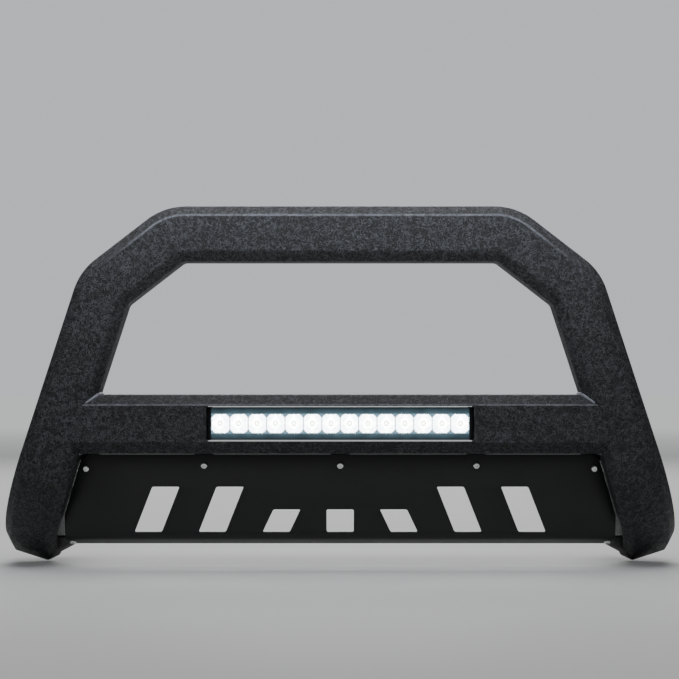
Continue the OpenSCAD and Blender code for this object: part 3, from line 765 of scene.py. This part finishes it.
def hex_socket(bm, ring_radius, height, across, depth):
    """Closes the open top of a turned head with a hexagonal socket."""
    top = [e for e in bm.edges if e.is_boundary and all(abs(v.co.z - height) < 1e-6 for v in e.verts)]
    made = bmesh.ops.create_circle(bm, segments=6, radius=across / math.sqrt(3), cap_ends=False,
                                   matrix=Matrix.Translation((0, 0, height)))
    hexagon = once(e for v in made["verts"] for e in v.link_edges)
    bmesh.ops.bridge_loops(bm, edges=top + hexagon)
    bottom = run_on(bm, hexagon, Vector((0, 0, -depth)))
    bmesh.ops.contextual_create(bm, geom=bottom)
    bmesh.ops.recalc_face_normals(bm, faces=bm.faces[:])


def button_screw(radius, head_radius, head_height, length, socket, pitch=1.0):
    """Button-head screw with a hexagonal socket, its head's underside at z = 0, in millimetres."""
    flat = socket / math.sqrt(3) + 0.45
    dome = []
    steps = 7
    for i in range(steps + 1):
        a = math.radians(90 * i / steps)
        dome.append((flat + (head_radius - flat) * math.sin(a), head_height * (0.22 + 0.78 * math.cos(a))))
    profile = dome + [(head_radius, 0.35), (head_radius - 0.3, 0), (radius, 0)]
    bm = lathe(profile + thread(radius, 0, length, pitch)[1:], segments=30)
    hex_socket(bm, flat * MM, head_height * MM, socket * MM, 0.55 * head_height * MM)
    return bm


def flat_washer(outer, inner, thick):
    e = 0.15
    return lathe([(inner, e), (inner + e, 0), (outer - e, 0), (outer, e), (outer, thick - e), (outer - e, thick),
                  (inner + e, thick), (inner, thick - e), (inner, e)], segments=40)


def spring_washer(outer, inner, thick):
    """Split washer: a square section turned almost all the way round, with its ends capped."""
    bm = bmesh.new()
    face = outline(bm, [Vector((r, 0, h)) * MM for r, h in ((inner, 0), (outer, 0), (outer, thick), (inner, thick))])
    edges = face.edges[:]
    bmesh.ops.delete(bm, geom=[face], context="FACES_ONLY")
    last = turn_on(bm, edges, (0, 0, 0), Z, math.radians(350), 40)
    bmesh.ops.contextual_create(bm, geom=edges)
    bmesh.ops.contextual_create(bm, geom=last)
    weld_up(bm)
    ease_edges(bm, 0.15 * MM, 1)
    return bm


def hexagon_prism(flats, height, hole=None):
    """Hexagon with chamfered corners, as a nut where it has a hole and otherwise as a bolt's head."""
    bm = bmesh.new()
    corner = flats * MM / math.sqrt(3)
    bmesh.ops.create_cone(bm, cap_ends=True, segments=6, radius1=corner, radius2=corner, depth=height * MM,
                          matrix=Matrix.Translation((0, 0, height * MM / 2)))
    rims = [e for e in bm.edges if abs(e.verts[0].co.z - e.verts[1].co.z) < 1e-7]
    bmesh.ops.bevel(bm, geom=rims, offset=0.05 * flats * MM, offset_type="OFFSET", segments=2, profile=0.5,
                    affect="EDGES", material=-1)
    if hole:
        ends = [f for f in bm.faces if abs(f.normal.z) > 0.99]
        loops = []
        for face in ends:
            z = face.calc_center_median().z
            rim = face.edges[:]
            bmesh.ops.delete(bm, geom=[face], context="FACES_ONLY")
            ring = bmesh.ops.create_circle(bm, segments=24, radius=hole * MM, matrix=Matrix.Translation((0, 0, z)))
            circle = once(e for v in ring["verts"] for e in v.link_edges)
            bmesh.ops.bridge_loops(bm, edges=rim + circle)
            loops.append(circle)
        bmesh.ops.bridge_loops(bm, edges=loops[0] + loops[1])
        bmesh.ops.recalc_face_normals(bm, faces=bm.faces[:])
    return bm


def hexagon_bolt(radius, flats, head, length, pitch):
    """Hexagon-head bolt with its head's underside at z = 0."""
    shank = lathe([(0, 0.6), (radius, 0.6), (radius, 0)] + thread(radius, 0, length, pitch)[1:], segments=32)
    washer_face = lathe([(0, 0), (flats * 0.48, 0), (flats * 0.48, 0.5), (0, 0.5)], segments=36)
    body = placed(hexagon_prism(flats, head - 0.4), Matrix.Translation((0, 0, 0.4 * MM)))
    return joined([shank, washer_face, body])


def bead(start, end, radius, slim=None, pitch=2.0):
    """Weld bead between two points, in metres, as a chain of low ripples; slim is its radius at the start."""
    slim = radius if slim is None else slim
    run = end - start
    length = run.length / MM
    steps = max(4, int(length / pitch) * 2)
    profile = [(0, 0)]
    for i in range(1, steps):
        scale = 1.0 if i % 2 else 0.94
        end_taper = min(1.0, 0.55 + 0.45 * min(i, steps - i) / 2)
        here = slim + (radius - slim) * i / steps
        profile.append((here * scale * end_taper, length * i / steps))
    profile.append((0, length))
    turn = run.to_track_quat("Z", "Y").to_matrix().to_4x4()
    return placed(lathe(profile, segments=12), Matrix.Translation(start) @ turn)


# ---------------------------------------------------------------- pieces

class GUARD_OT_hoop(bpy.types.Operator):
    """Build the hoop from its folded, chamfered tube, with its recessed ends"""
    bl_idname = "guard.hoop"
    bl_label = "Hoop"

    def execute(self, context):
        s = context.scene.guard.tube
        path = HoopPath(s)
        c, w, d = s.chamfer, s.width, s.depth
        bm = bmesh.new()
        low = s.top - w
        section = [(0, d), (0, c), (c, 0), (w - c, 0), (w, c), (w, d)]
        face = outline(bm, [Vector((0, s.front + v, low + u)) for u, v in section],
                       [s.fold * 1.3] + [s.fold] * 4 + [s.fold * 1.3], segments=4)
        ring = face.edges[:]
        bmesh.ops.delete(bm, geom=[face], context="FACES_ONLY")
        mark_fold_highlights(bm, ring, low + w / 2)
        ring = run_on(bm, ring, Vector((-path.rail, 0, 0)))
        ring = turn_on(bm, ring, path.bend_1, -Y, path.shoulder_turn, 18)
        ring = run_on(bm, ring, path.shoulder * along(path.shoulder_turn))
        ring = turn_on(bm, ring, path.bend_2, -Y, path.leg_turn, 16)
        leg_way = along(path.lean_in)
        ring = run_on(bm, ring, path.leg * leg_way)
        ring = turn_on(bm, ring, path.foot_centre, leg_way.cross(Y), s.foot_turn, 26)
        ring = run_on(bm, ring, s.foot * path.foot_way)
        end = bmesh.ops.contextual_create(bm, geom=ring)["faces"]
        bmesh.ops.inset_region(bm, faces=end, thickness=s.wall, depth=0, use_even_offset=True)
        cap = bmesh.ops.extrude_face_region(bm, geom=end)["geom"]
        bmesh.ops.delete(bm, geom=end, context="FACES_ONLY")
        bmesh.ops.translate(bm, verts=verts_of(cap), vec=-1.0 * MM * path.foot_way)
        # Painted fold highlight: it fades out with height, so only the rail and the upper shoulders read lighter along
        # their folds.
        fold = bm.verts.layers.float["fold"]
        highlight_fade_from, highlight_fade_over = s.top - 200 * MM, 140 * MM
        for v in bm.verts:
            v[fold] *= min(1.0, max(0.0, (v.co.z - highlight_fade_from) / highlight_fade_over)) if v.co.z > low else 0.0
        bmesh.ops.mirror(bm, geom=all_of(bm), matrix=Matrix.Identity(4), merge_dist=1e-6, axis="X")
        weld_up(bm)
        finish_piece("hoop", bm, textured_coat, "frame", "hoop_shell", "hoop_back", "hoop_end_left", "hoop_end_right")
        return {"FINISHED"}


class GUARD_OT_crossbar(bpy.types.Operator):
    """Build the folded crossbar with its light window, and the plates that carry the light"""
    bl_idname = "guard.crossbar"
    bl_label = "Crossbar"

    def execute(self, context):
        s = context.scene.guard.tube
        skin = 0.05 * MM
        top, low, back = s.bar_top, s.bar_top - s.bar_height, s.depth - skin
        high_cut, low_cut, lip = s.chamfer + 0.6 * MM, s.chamfer + 2 * MM, 12 * MM
        half = inner_wall_x(s, low) + 40 * MM
        window_z = (low + low_cut + top - s.chamfer) / 2
        bm = bmesh.new()
        section = [(back, low + lip), (back, low), (low_cut, low), (skin, low + low_cut), (skin, top - high_cut),
                   (high_cut, top), (back, top), (back, top - lip)]
        fold = 1.8 * MM
        face = outline(bm, [Vector((-half, s.front + v, z)) for v, z in section],
                       [0, fold, fold, fold, fold, fold, fold, 0], segments=4)
        chain = [e for e in face.edges if not all(abs(v.co.y - s.front - back) < 1e-6 for v in e.verts)
                 or e.calc_length() < lip]
        shut = [e for e in face.edges if e not in chain]
        bmesh.ops.delete(bm, geom=[face], context="FACES_ONLY")
        bmesh.ops.delete(bm, geom=shut, context="EDGES")
        mark_fold_highlights(bm, chain, window_z)
        run_on(bm, chain, Vector((2 * half, 0, 0)))
        front = max((f for f in bm.faces if all(abs(v.co.y - s.front - skin) < 1e-6 for v in f.verts)),
                    key=lambda f: f.calc_area())
        rim = front.edges[:]
        bmesh.ops.delete(bm, geom=[front], context="FACES_ONLY")
        w, h = s.window_width / 2, s.window_height / 2
        hole = outline(bm, [Vector((x * w, s.front + skin, window_z + z * h))
                            for x, z in ((-1, -1), (1, -1), (1, 1), (-1, 1))], [3 * MM] * 4, segments=5)
        window = hole.edges[:]
        bmesh.ops.delete(bm, geom=[hole], context="FACES_ONLY")
        bmesh.ops.bridge_loops(bm, edges=rim + window)
        bmesh.ops.recalc_face_normals(bm, faces=bm.faces[:])
        middle = next(f for f in bm.faces if abs(f.normal.z) > 0.99)
        outward = middle.normal.z * (1 if middle.calc_center_median().z > window_z else -1)
        if outward < 0:
            bmesh.ops.reverse_faces(bm, faces=bm.faces[:])
        bmesh.ops.solidify(bm, geom=bm.faces[:], thickness=s.wall)
        bmesh.ops.recalc_face_normals(bm, faces=bm.faces[:])
        tuck = 3.4 * MM
        reach = (s.chamfer + tuck) / math.cos(s.lean)
        for side in (1, -1):
            wall = Vector((side * (inner_wall_x(s, 0) + reach), s.front, 0))
            normal = Vector((side * math.cos(s.lean), 0, math.sin(s.lean)))
            made = bmesh.ops.bisect_plane(bm, geom=all_of(bm), dist=1e-7, plane_co=wall,
                                          plane_no=normal, clear_outer=True)
            cut = [e for e in edges_of(made["geom_cut"]) if e.is_valid and e.is_boundary]
            bmesh.ops.holes_fill(bm, edges=cut, sides=0)
        rims = [e for e in bm.edges if len(e.link_faces) == 2 and e.calc_face_angle() > math.radians(60)
                and all(abs(v.co.x) <= w + 1e-6 and abs(v.co.z - window_z) <= h + 1e-6 for v in e.verts)]
        ease_edges(bm, 0.4 * MM, 2, 60, rims)
        bmesh.ops.recalc_face_normals(bm, faces=bm.faces[:])
        finish_piece("crossbar", bm, textured_coat, "frame", "crossbar")
        for name, _ in SIDES:
            eased_piece("light_tab_piece_" + name, "light_tab_" + name, satin_coat, "frame", 0.5)
        return {"FINISHED"}


class GUARD_OT_welds(bpy.types.Operator):
    """Lay the weld beads of the crossbar, the mount plates and the ribs"""
    bl_idname = "guard.welds"
    bl_label = "Welds"

    def execute(self, context):
        s = context.scene.guard.tube
        top, low = s.bar_top, s.bar_top - s.bar_height
        front, back = s.front, s.front + s.depth
        high_cut, low_cut = s.chamfer + 0.6 * MM, s.chamfer + 2 * MM
        fold = s.chamfer / math.cos(s.lean)
        corner = Vector((-inner_wall_x(s, top), front + high_cut, top))
        mitre = Vector((-inner_wall_x(s, top - high_cut) - fold, front, top - high_cut))
        under = Vector((-inner_wall_x(s, low), front + low_cut, low))
        heel = Vector((-inner_wall_x(s, low + low_cut) - fold, front, low + low_cut))
        deep = Vector((0, 1.6, 0)) * MM
        beads = [
            (mitre.lerp(corner, 0.14), mitre.lerp(corner, 1.02), 3.3, 1.7),
            (corner, Vector((corner.x, back - 1 * MM, top)), 3.0, 3.3),
            (heel.lerp(under, 0.35) + deep, under + deep, 1.9),
            (under, Vector((under.x, back - 1 * MM, low)), 2.0),
        ]
        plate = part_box("mount_plate_left")
        for x in (plate[0].x, plate[1].x):
            beads.append((Vector((x, back, 30 * MM)), Vector((x, back, 64 * MM)), 2.2))
        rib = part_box("bracket_ribs_left")
        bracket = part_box("frame_bracket_left")
        for z in (rib[0].z, rib[1].z):
            beads.append((Vector((rib[1].x, rib[0].y + 4 * MM, z)), Vector((rib[1].x, rib[1].y - 16 * MM, z)), 1.6))
            beads.append((Vector((rib[0].x + 3 * MM, bracket[1].y - 6 * MM, z)),
                          Vector((rib[1].x - 14 * MM, bracket[1].y - 6 * MM, z)), 1.6))
        for name, side in SIDES:
            laid = [placed(bead(*line), on_side(side)) for line in beads]
            finish_piece("weld_beads_" + name, joined(laid), highlighted_weld, "frame", smooth=60)
        return {"FINISHED"}


class GUARD_OT_skid_plate(bpy.types.Operator):
    """Build the bent skid plate with its slanted vent slots, and the tabs behind it"""
    bl_idname = "guard.skid_plate"
    bl_label = "Skid plate"

    def execute(self, context):
        p, s = context.scene.guard.plate, context.scene.guard.tube
        cos = math.cos(p.lean)

        def edge(down):
            return inner_wall_x(s, p.top_z - down * cos) - p.gap

        corner = 8 * MM
        knee = (p.top_z + 46 * MM) / cos
        half = edge(knee)
        bm = bmesh.new()
        left = [(-edge(0) + corner, 0), (-edge(corner), corner), (-half, knee), (-half, p.face)]
        right = [(-x, down) for x, down in reversed(left)]
        rim = outline(bm, [Vector((x, 0, -down)) for x, down in left + right])
        holes = []
        for i in range(-p.slots_each_side, p.slots_each_side + 1):
            big = abs(i) > 1
            upper, lower = (48 if big else 82) * MM, 116 * MM
            slant = math.copysign(math.radians(21.5 if big else 25), i) if i else 0
            shift = (lower - upper) * math.tan(slant)
            x, w = i * p.slot_pitch, p.slot_width / 2
            quad = [(x - w, lower), (x + w, lower), (x + w - shift, upper), (x - w - shift, upper)]
            holes.append(outline(bm, [Vector((a, 0, -down)) for a, down in quad], [2.2 * MM] * 4, segments=5))
        bottom = [e for e in rim.edges if all(abs(v.co.z + p.face) < 1e-7 for v in e.verts)]
        bmesh.ops.delete(bm, geom=[rim] + holes, context="FACES_ONLY")
        bmesh.ops.triangle_fill(bm, edges=bm.edges[:], use_beauty=True)
        bend_centre = Vector((0, p.bend + p.thickness, -p.face))
        turn = p.flange_lean - p.lean
        lip = turn_on(bm, bottom, bend_centre, X, turn, 8)
        run_on(bm, lip, p.flange * Vector((0, math.sin(turn), -math.cos(turn))))
        weld_up(bm)
        if max(bm.faces, key=lambda f: f.calc_area()).normal.y > 0:
            bmesh.ops.reverse_faces(bm, faces=bm.faces[:])
        bmesh.ops.solidify(bm, geom=bm.faces[:], thickness=p.thickness)
        bmesh.ops.recalc_face_normals(bm, faces=bm.faces[:])
        ease_edges(bm, 0.35 * MM, 2, 60)
        placed(bm, plate_frame(p))
        finish_piece("skid_plate_sheet", bm, satin_coat, "frame", "skid_plate")
        for node in ("skid_tabs", "foot_tab_left", "foot_tab_right"):
            eased_piece(node + "_piece", node, satin_coat, "frame", 0.4)
        return {"FINISHED"}


class GUARD_OT_skid_fasteners(bpy.types.Operator):
    """Fit the skid plate's button-head screws, washers and nuts"""
    bl_idname = "guard.skid_fasteners"
    bl_label = "Skid plate fasteners"

    def execute(self, context):
        places = list(skid_screw_frames(context.scene.guard.plate))
        washer, nut = 1.6 * MM, 5 * MM

        def screw():
            return button_screw(2.95, 5.25, 3.3, 20, 4.0)

        for name, chosen in (("top", places[:5]), ("bottom", places[5:])):
            finish_piece("skid_screw_set_" + name, copies(screw, [m for m, _ in chosen]), bright_zinc, "frame",
                         "skid_screws_" + name)
        under = [m @ Matrix.Translation((0, 0, -grip - washer)) for m, grip in places]
        finish_piece("skid_washer_set", copies(lambda: flat_washer(6, 3.2, 1.6), under), bright_zinc, "frame",
                     "skid_washers")
        below = [m @ Matrix.Translation((0, 0, -nut)) for m in under]
        finish_piece("skid_nut_set", copies(lambda: hexagon_prism(10, 5, 3.0), below), bright_zinc, "frame",
                     "skid_nuts")
        return {"FINISHED"}


class GUARD_OT_mounts(bpy.types.Operator):
    """Build the mount plates, the frame brackets and their ribs"""
    bl_idname = "guard.mounts"
    bl_label = "Mounts and brackets"

    def execute(self, context):
        for name, _ in SIDES:
            for node, width in (("mount_plate_", 0.8), ("frame_bracket_", 0.8), ("bracket_ribs_", 0.5)):
                eased_piece(node + name + "_piece", node + name, satin_coat, "frame", width)
        return {"FINISHED"}


class GUARD_OT_mount_fasteners(bpy.types.Operator):
    """Fit the bolts, washers, lock washers and nuts that join the brackets to the mount plates"""
    bl_idname = "guard.mount_fasteners"
    bl_label = "Bracket bolts"

    def execute(self, context):
        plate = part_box("mount_plate_left")
        at_y = -60 * MM
        out = Matrix.Rotation(-math.pi / 2, 4, "Y")
        grip, washer, lock, nut = 12, 2.5, 3, 10
        makers = (
            ("bolts", lambda: hexagon_bolt(5.95, 18, 7.5, grip + washer + lock + nut + 6, 1.75), (washer,)),
            ("washers", lambda: flat_washer(12, 6.5, washer), (0, -grip - washer)),
            ("lock_washers", lambda: spring_washer(10.5, 6.3, lock), (-grip - washer - lock,)),
            ("nuts", lambda: hexagon_prism(18, nut, 6.0), (-grip - washer - lock - nut,)),
        )
        for name, side in SIDES:
            axes = [on_side(side) @ Matrix.Translation((plate[0].x, at_y, z * MM)) @ out for z in (-25, 25)]
            for kind, make, heights in makers:
                where = [a @ Matrix.Translation((0, 0, h * MM)) for a in axes for h in heights]
                finish_piece(f"bracket_{kind}_set_{name}", copies(make, where), bright_zinc, "frame",
                             f"bracket_{kind}_{name}")
        return {"FINISHED"}


def light_frame():
    """Frame of the light bar, with its origin on the tilt axis."""
    low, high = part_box("light_housing")
    return Matrix.Translation(((low.x + high.x) / 2, (low.y + high.y) / 2, (low.z + high.z) / 2))


class GUARD_OT_light_housing(bpy.types.Operator):
    """Build the finned housing, its gaskets, end caps, end screws, cable gland and vent"""
    bl_idname = "guard.light_housing"
    bl_label = "Light housing"

    def execute(self, context):
        at = light_frame()
        eased_piece("light_housing_body", "light_housing", lit_housing, "light", 0.35)
        out = Matrix.Rotation(-math.pi / 2, 4, "Y")
        cap_x = -189 * MM
        for name, side in SIDES:
            eased_piece("light_gasket_piece_" + name, "light_gasket_" + name, black_rubber, "light", 0.15)
            eased_piece("light_end_cap_piece_" + name, "light_end_cap_" + name, black_anodised, "light", 0.6, 3)
            screws = [on_side(side) @ at @ Matrix.Translation((cap_x, y * MM, z * MM)) @ out
                      for y, h in ((-11, 18.2), (5.6, 17.4)) for z in (-h, h)]
            finish_piece("light_cap_screw_set_" + name,
                         copies(lambda: button_screw(1.45, 2.8, 1.5, 14, 1.75, 0.5), screws), bright_zinc,
                         "light", "light_cap_screws_" + name)
        back = Matrix.Rotation(-math.pi / 2, 4, "X")
        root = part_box("light_vent_plug")[0].y + 2.4 * MM - at.translation.y
        base = hexagon_prism(13, 4, 2.6)
        nut = lathe([(2.6, 3.9), (6, 3.9), (6, 5.0), (5.7, 5.4), (5.9, 5.8), (5.5, 6.4), (5.6, 6.8), (5.1, 7.6),
                     (5.2, 8.0), (4.8, 8.8), (4.4, 10.6), (3.9, 11), (2.9, 11), (2.6, 10.6), (2.6, 3.9)], 40)
        stub = lathe([(2.6, -2.4), (3.95, -2.4), (3.95, 0.4), (2.6, 0.4), (2.6, -2.4)], 32)
        where = at @ Matrix.Translation((120 * MM, root, 0)) @ back
        finish_piece("light_cable_gland_piece", placed(joined([base, nut, stub]), where), black_rubber, "light",
                     "light_cable_gland")
        plug = lathe([(0, -2.4), (3.7, -2.4), (3.95, -2.1), (3.95, 0), (6.1, 0), (6.5, 0.4), (6.5, 2.1), (6.1, 2.5),
                      (5.5, 2.5), (5.2, 3.5), (4.5, 4.0), (2.0, 4.0), (1.7, 3.4), (0, 3.4)], 40)
        where = at @ Matrix.Translation((-120 * MM, root, 0)) @ back
        finish_piece("light_vent_plug_piece", placed(plug, where), black_anodised, "light", "light_vent_plug")
        return {"FINISHED"}


def reflector_cell(pitch, height, depth):
    """One cup: a rounded square at the front that narrows to a round hole, in a block of its own."""
    bm = bmesh.new()
    front_w, front_h, hole = pitch / 2 - 0.5 * MM, height / 2 - 0.9 * MM, 3.6 * MM

    def ring(y, w, h, corner):
        face = outline(bm, [Vector((x * w, y, z * h)) for x, z in ((-1, -1), (1, -1), (1, 1), (-1, 1))],
                       [corner * min(w, h)] * 4 if corner else (), segments=7)
        edges = face.edges[:]
        bmesh.ops.delete(bm, geom=[face], context="FACES_ONLY")
        return edges

    rings = []
    for t in (0, 0.12, 0.3, 0.5, 0.7, 0.86, 1):
        narrow = math.sqrt(1 - t * (1 - (hole / front_w) ** 2))
        w = front_w * narrow
        h = w + (front_h - front_w) * (1 - t)
        rings.append(ring(t * depth, w, h, 0.44 + 0.54 * min(1.0, t * 1.6)))
    for a, b in zip(rings, rings[1:]):
        bmesh.ops.bridge_loops(bm, edges=a + b)
    near = ring(0, pitch / 2 - 0.03 * MM, height / 2, 0)
    far = ring(depth, pitch / 2 - 0.03 * MM, height / 2, 0)
    bmesh.ops.bridge_loops(bm, edges=rings[0] + near)
    bmesh.ops.bridge_loops(bm, edges=near + far)
    bmesh.ops.bridge_loops(bm, edges=far + rings[-1])
    weld_up(bm)
    return bm


def emitter():
    """Square package with a clear dome."""
    bm = bmesh.new()
    bmesh.ops.create_cube(bm, size=1, matrix=Matrix.Translation((0, 0, 0.4 * MM))
                          @ Matrix.Diagonal((3.5 * MM, 3.5 * MM, 0.8 * MM, 1)))
    ease_edges(bm, 0.2 * MM, 2)
    dome = bmesh.new()
    bmesh.ops.create_uvsphere(dome, u_segments=20, v_segments=12, radius=1.5 * MM,
                              matrix=Matrix.Translation((0, 0, 0.8 * MM)))
    made = bmesh.ops.bisect_plane(dome, geom=all_of(dome), dist=1e-7, plane_co=(0, 0, 0.79 * MM), plane_no=(0, 0, 1),
                                  clear_inner=True)
    bmesh.ops.holes_fill(dome, edges=edges_of(made["geom_cut"]), sides=0)
    return joined([bm, dome])


class GUARD_OT_light_optics(bpy.types.Operator):
    """Build the cover, its seal, the reflector cups, the emitters and the boards"""
    bl_idname = "guard.light_optics"
    bl_label = "Light optics"

    def execute(self, context):
        s = context.scene.guard.light
        at = light_frame()
        low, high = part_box("light_reflector")
        depth, height = high.y - low.y, high.z - low.z
        offsets = [(i - (s.count - 1) / 2) * s.pitch for i in range(s.count)]
        middle = (low.z + high.z) / 2
        cells = copies(lambda: reflector_cell(s.pitch, height, depth),
                       [Matrix.Translation((x, low.y, middle)) for x in offsets])
        finish_piece("light_reflector_cups", cells, metallised, "light", "light_reflector", smooth=50)
        out = Matrix.Rotation(math.pi / 2, 4, "X")
        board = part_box("light_circuit_board")
        where = [Matrix.Translation((x, board[0].y, middle)) @ out for x in offsets]
        finish_piece("light_emitter_set", copies(emitter, where), lit_emitter, "light", "light_emitters")
        eased_piece("light_cover", "light_lens", clear_cover, "light", 0.3)
        finish_piece("light_driver_board_piece", driver_board(), green_board, "light", "light_driver_board")
        recoat("light_lens_seal", black_rubber)
        recoat("light_circuit_board", white_board)
        return {"FINISHED"}


def driver_board():
    """Driver board with its coils and capacitors."""
    low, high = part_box("light_driver_board")
    thick = 1.6 * MM
    middle = (low + high) / 2
    board = bmesh.new()
    bmesh.ops.create_cube(board, size=1, matrix=Matrix.Translation((middle.x, low.y + thick / 2, middle.z))
                          @ Matrix.Diagonal((high.x - low.x, thick, high.z - low.z, 1)))
    ease_edges(board, 0.2 * MM, 1)
    parts = [board]
    back = Matrix.Rotation(-math.pi / 2, 4, "X")
    for i, x in enumerate((-42, -14, 14, 42)):
        centre = Matrix.Translation((x * MM, low.y + thick, middle.z)) @ back
        profile = ([(0, 3.0), (3.6, 3.0), (4.2, 2.6), (4.2, 0.9), (3.4, 0.7), (3.4, 0.4), (4.4, 0.2), (4.4, 0), (0, 0)]
                   if i % 2 else
                   [(0, 3.0), (2.0, 3.0), (4.6, 2.8), (4.8, 2.4), (4.8, 0.6), (4.6, 0.2), (0, 0.2)])
        parts.append(placed(lathe(profile, 28), centre))
    return joined(parts)


class GUARD_OT_light_pivots(bpy.types.Operator):
    """Fit the light's pivot bolts with their washers"""
    bl_idname = "guard.light_pivots"
    bl_label = "Light pivots"

    def execute(self, context):
        at = light_frame()
        out = Matrix.Rotation(-math.pi / 2, 4, "Y")
        for name, side in SIDES:
            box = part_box("light_pivot_washers_" + name)
            near = min(abs(box[0].x), abs(box[1].x))
            axis = on_side(side) @ at @ Matrix.Translation((-near, 0, 0)) @ out
            washer = placed(flat_washer(8.5, 4.3, 1.6), axis)
            lock = placed(spring_washer(7, 4.2, 2), axis @ Matrix.Translation((0, 0, 1.6 * MM)))
            finish_piece("light_pivot_washer_set_" + name, joined([washer, lock]), bright_zinc, "light",
                         "light_pivot_washers_" + name)
            head = axis @ Matrix.Translation((0, 0, 3.6 * MM))
            finish_piece("light_pivot_bolt_piece_" + name,
                         placed(button_screw(3.95, 7, 4.4, 11.7, 5.0, 1.25), head), bright_zinc, "light",
                         "light_pivot_bolt_" + name)
        return {"FINISHED"}


# ---------------------------------------------------------------- stage

def studio_floor():
    """Pale floor that brightens far away, to the camera only."""
    f = settings().finish
    material, w, shader, at = new_finish("studio_floor")
    cloud = w.noise(at, 0.8, detail=3.0)
    w.fill(shader, Base_Color=w.mix(cloud, rgba(f.floor, 0.97), rgba(f.floor, 1.03)), Roughness=0.8)
    far = w.node("VectorMath", operation="LENGTH")
    w.join(at, far.inputs[0])
    glow = w.between(far.outputs["Value"], 1.5, 7.0, 0.10, 0.60)
    seen = w.product(glow, w.node("LightPath").outputs["Is Camera Ray"])
    w.fill(shader, Emission_Color=(0.98, 0.99, 1.0, 1), Emission_Strength=seen)
    return material


def soft_light(name, place, target, size, power, colour=(1, 1, 1)):
    """Large soft light aimed at a point."""
    lamp = bpy.data.lights.new(name, "AREA")
    lamp.shape = "RECTANGLE"
    lamp.size, lamp.size_y = size
    lamp.energy = power
    lamp.color = colour
    light = bpy.data.objects.new(name, lamp)
    light.location = place
    light.visible_camera = False
    light.rotation_euler = (Vector(target) - Vector(place)).to_track_quat("-Z", "Y").to_euler()
    bpy.context.scene.collection.objects.link(light)


class GUARD_OT_stage(bpy.types.Operator):
    """Lay the pale floor, hang the soft lights and place the camera"""
    bl_idname = "guard.stage"
    bl_label = "Stage"

    def execute(self, context):
        scene = context.scene
        ground = CAD_BOX[0].z - 0.5 * MM
        bm = bmesh.new()
        bmesh.ops.create_circle(bm, cap_ends=True, segments=96, radius=30, matrix=Matrix.Translation((0, 0, ground)))
        floor = finish_piece("floor", bm, studio_floor, None)
        world = bpy.data.worlds.new("studio")
        world.use_nodes = True
        w = Wiring(world.node_tree)
        sky = world.node_tree.nodes["Background"]
        sky.inputs["Color"].default_value = (0.80, 0.82, 0.86, 1)
        w.join(w.between(w.node("LightPath").outputs["Is Camera Ray"], 0, 1, 0.05, 0.75), sky.inputs["Strength"])
        scene.world = world
        cool = (0.93, 0.96, 1.0)
        soft_light("key_softbox", (0, -0.45, 0.52), (0, -0.2, 0.37), (1.25, 0.16), 3.1, cool)
        soft_light("top_softbox", (0, 0.1, 2.6), (0, -0.1, 0), (3.0, 2.4), 52)
        soft_light("front_softbox", (0, -3.2, 1.9), (0, -0.2, 0.1), (2.6, 0.9), 2, cool)
        soft_light("back_softbox", (0, 2.4, 1.5), (0, 0, 0.1), (2.4, 0.8), 34)
        lens = bpy.data.cameras.new("camera")
        lens.lens, lens.sensor_width = 85.85, 36
        lens.clip_start, lens.clip_end = 0.05, 100
        camera = bpy.data.objects.new("camera", lens)
        camera.location = (-0.001, -2.51, 0.150)
        camera.rotation_euler = (math.radians(90 + 1.45), 0, 0)
        scene.collection.objects.link(camera)
        scene.camera = camera
        return {"FINISHED"}


# ---------------------------------------------------------------- panel and running

OPERATORS = (
    GUARD_OT_stage, GUARD_OT_hoop, GUARD_OT_crossbar, GUARD_OT_welds, GUARD_OT_skid_plate,
    GUARD_OT_skid_fasteners, GUARD_OT_mounts, GUARD_OT_mount_fasteners, GUARD_OT_light_housing,
    GUARD_OT_light_optics, GUARD_OT_light_pivots,
)


class GUARD_PT_panel(bpy.types.Panel):
    """Lists the guard's pieces and settings"""
    bl_idname = "GUARD_PT_panel"
    bl_label = "Front grille guard"
    bl_space_type = "VIEW_3D"
    bl_region_type = "UI"
    bl_category = "Guard"

    def draw(self, context):
        layout = self.layout
        for group in ("tube", "plate", "light", "finish"):
            box = layout.box()
            box.label(text=group.capitalize())
            values = getattr(context.scene.guard, group)
            for key in values.__annotations__:
                box.prop(values, key)
        for operator in OPERATORS:
            layout.operator(operator.bl_idname)


CLASSES = (GuardTube, GuardPlate, GuardLight, GuardFinish, GuardSettings) + OPERATORS + (GUARD_PT_panel,)


def register():
    for cls in CLASSES:
        bpy.utils.register_class(cls)
    bpy.types.Scene.guard = PointerProperty(type=GuardSettings)


def unregister():
    del bpy.types.Scene.guard
    for cls in reversed(CLASSES):
        bpy.utils.unregister_class(cls)


def main():
    register()
    for operator in OPERATORS:
        area, name = operator.bl_idname.split(".")
        getattr(getattr(bpy.ops, area), name)()


if __name__ == "__main__":
    main()
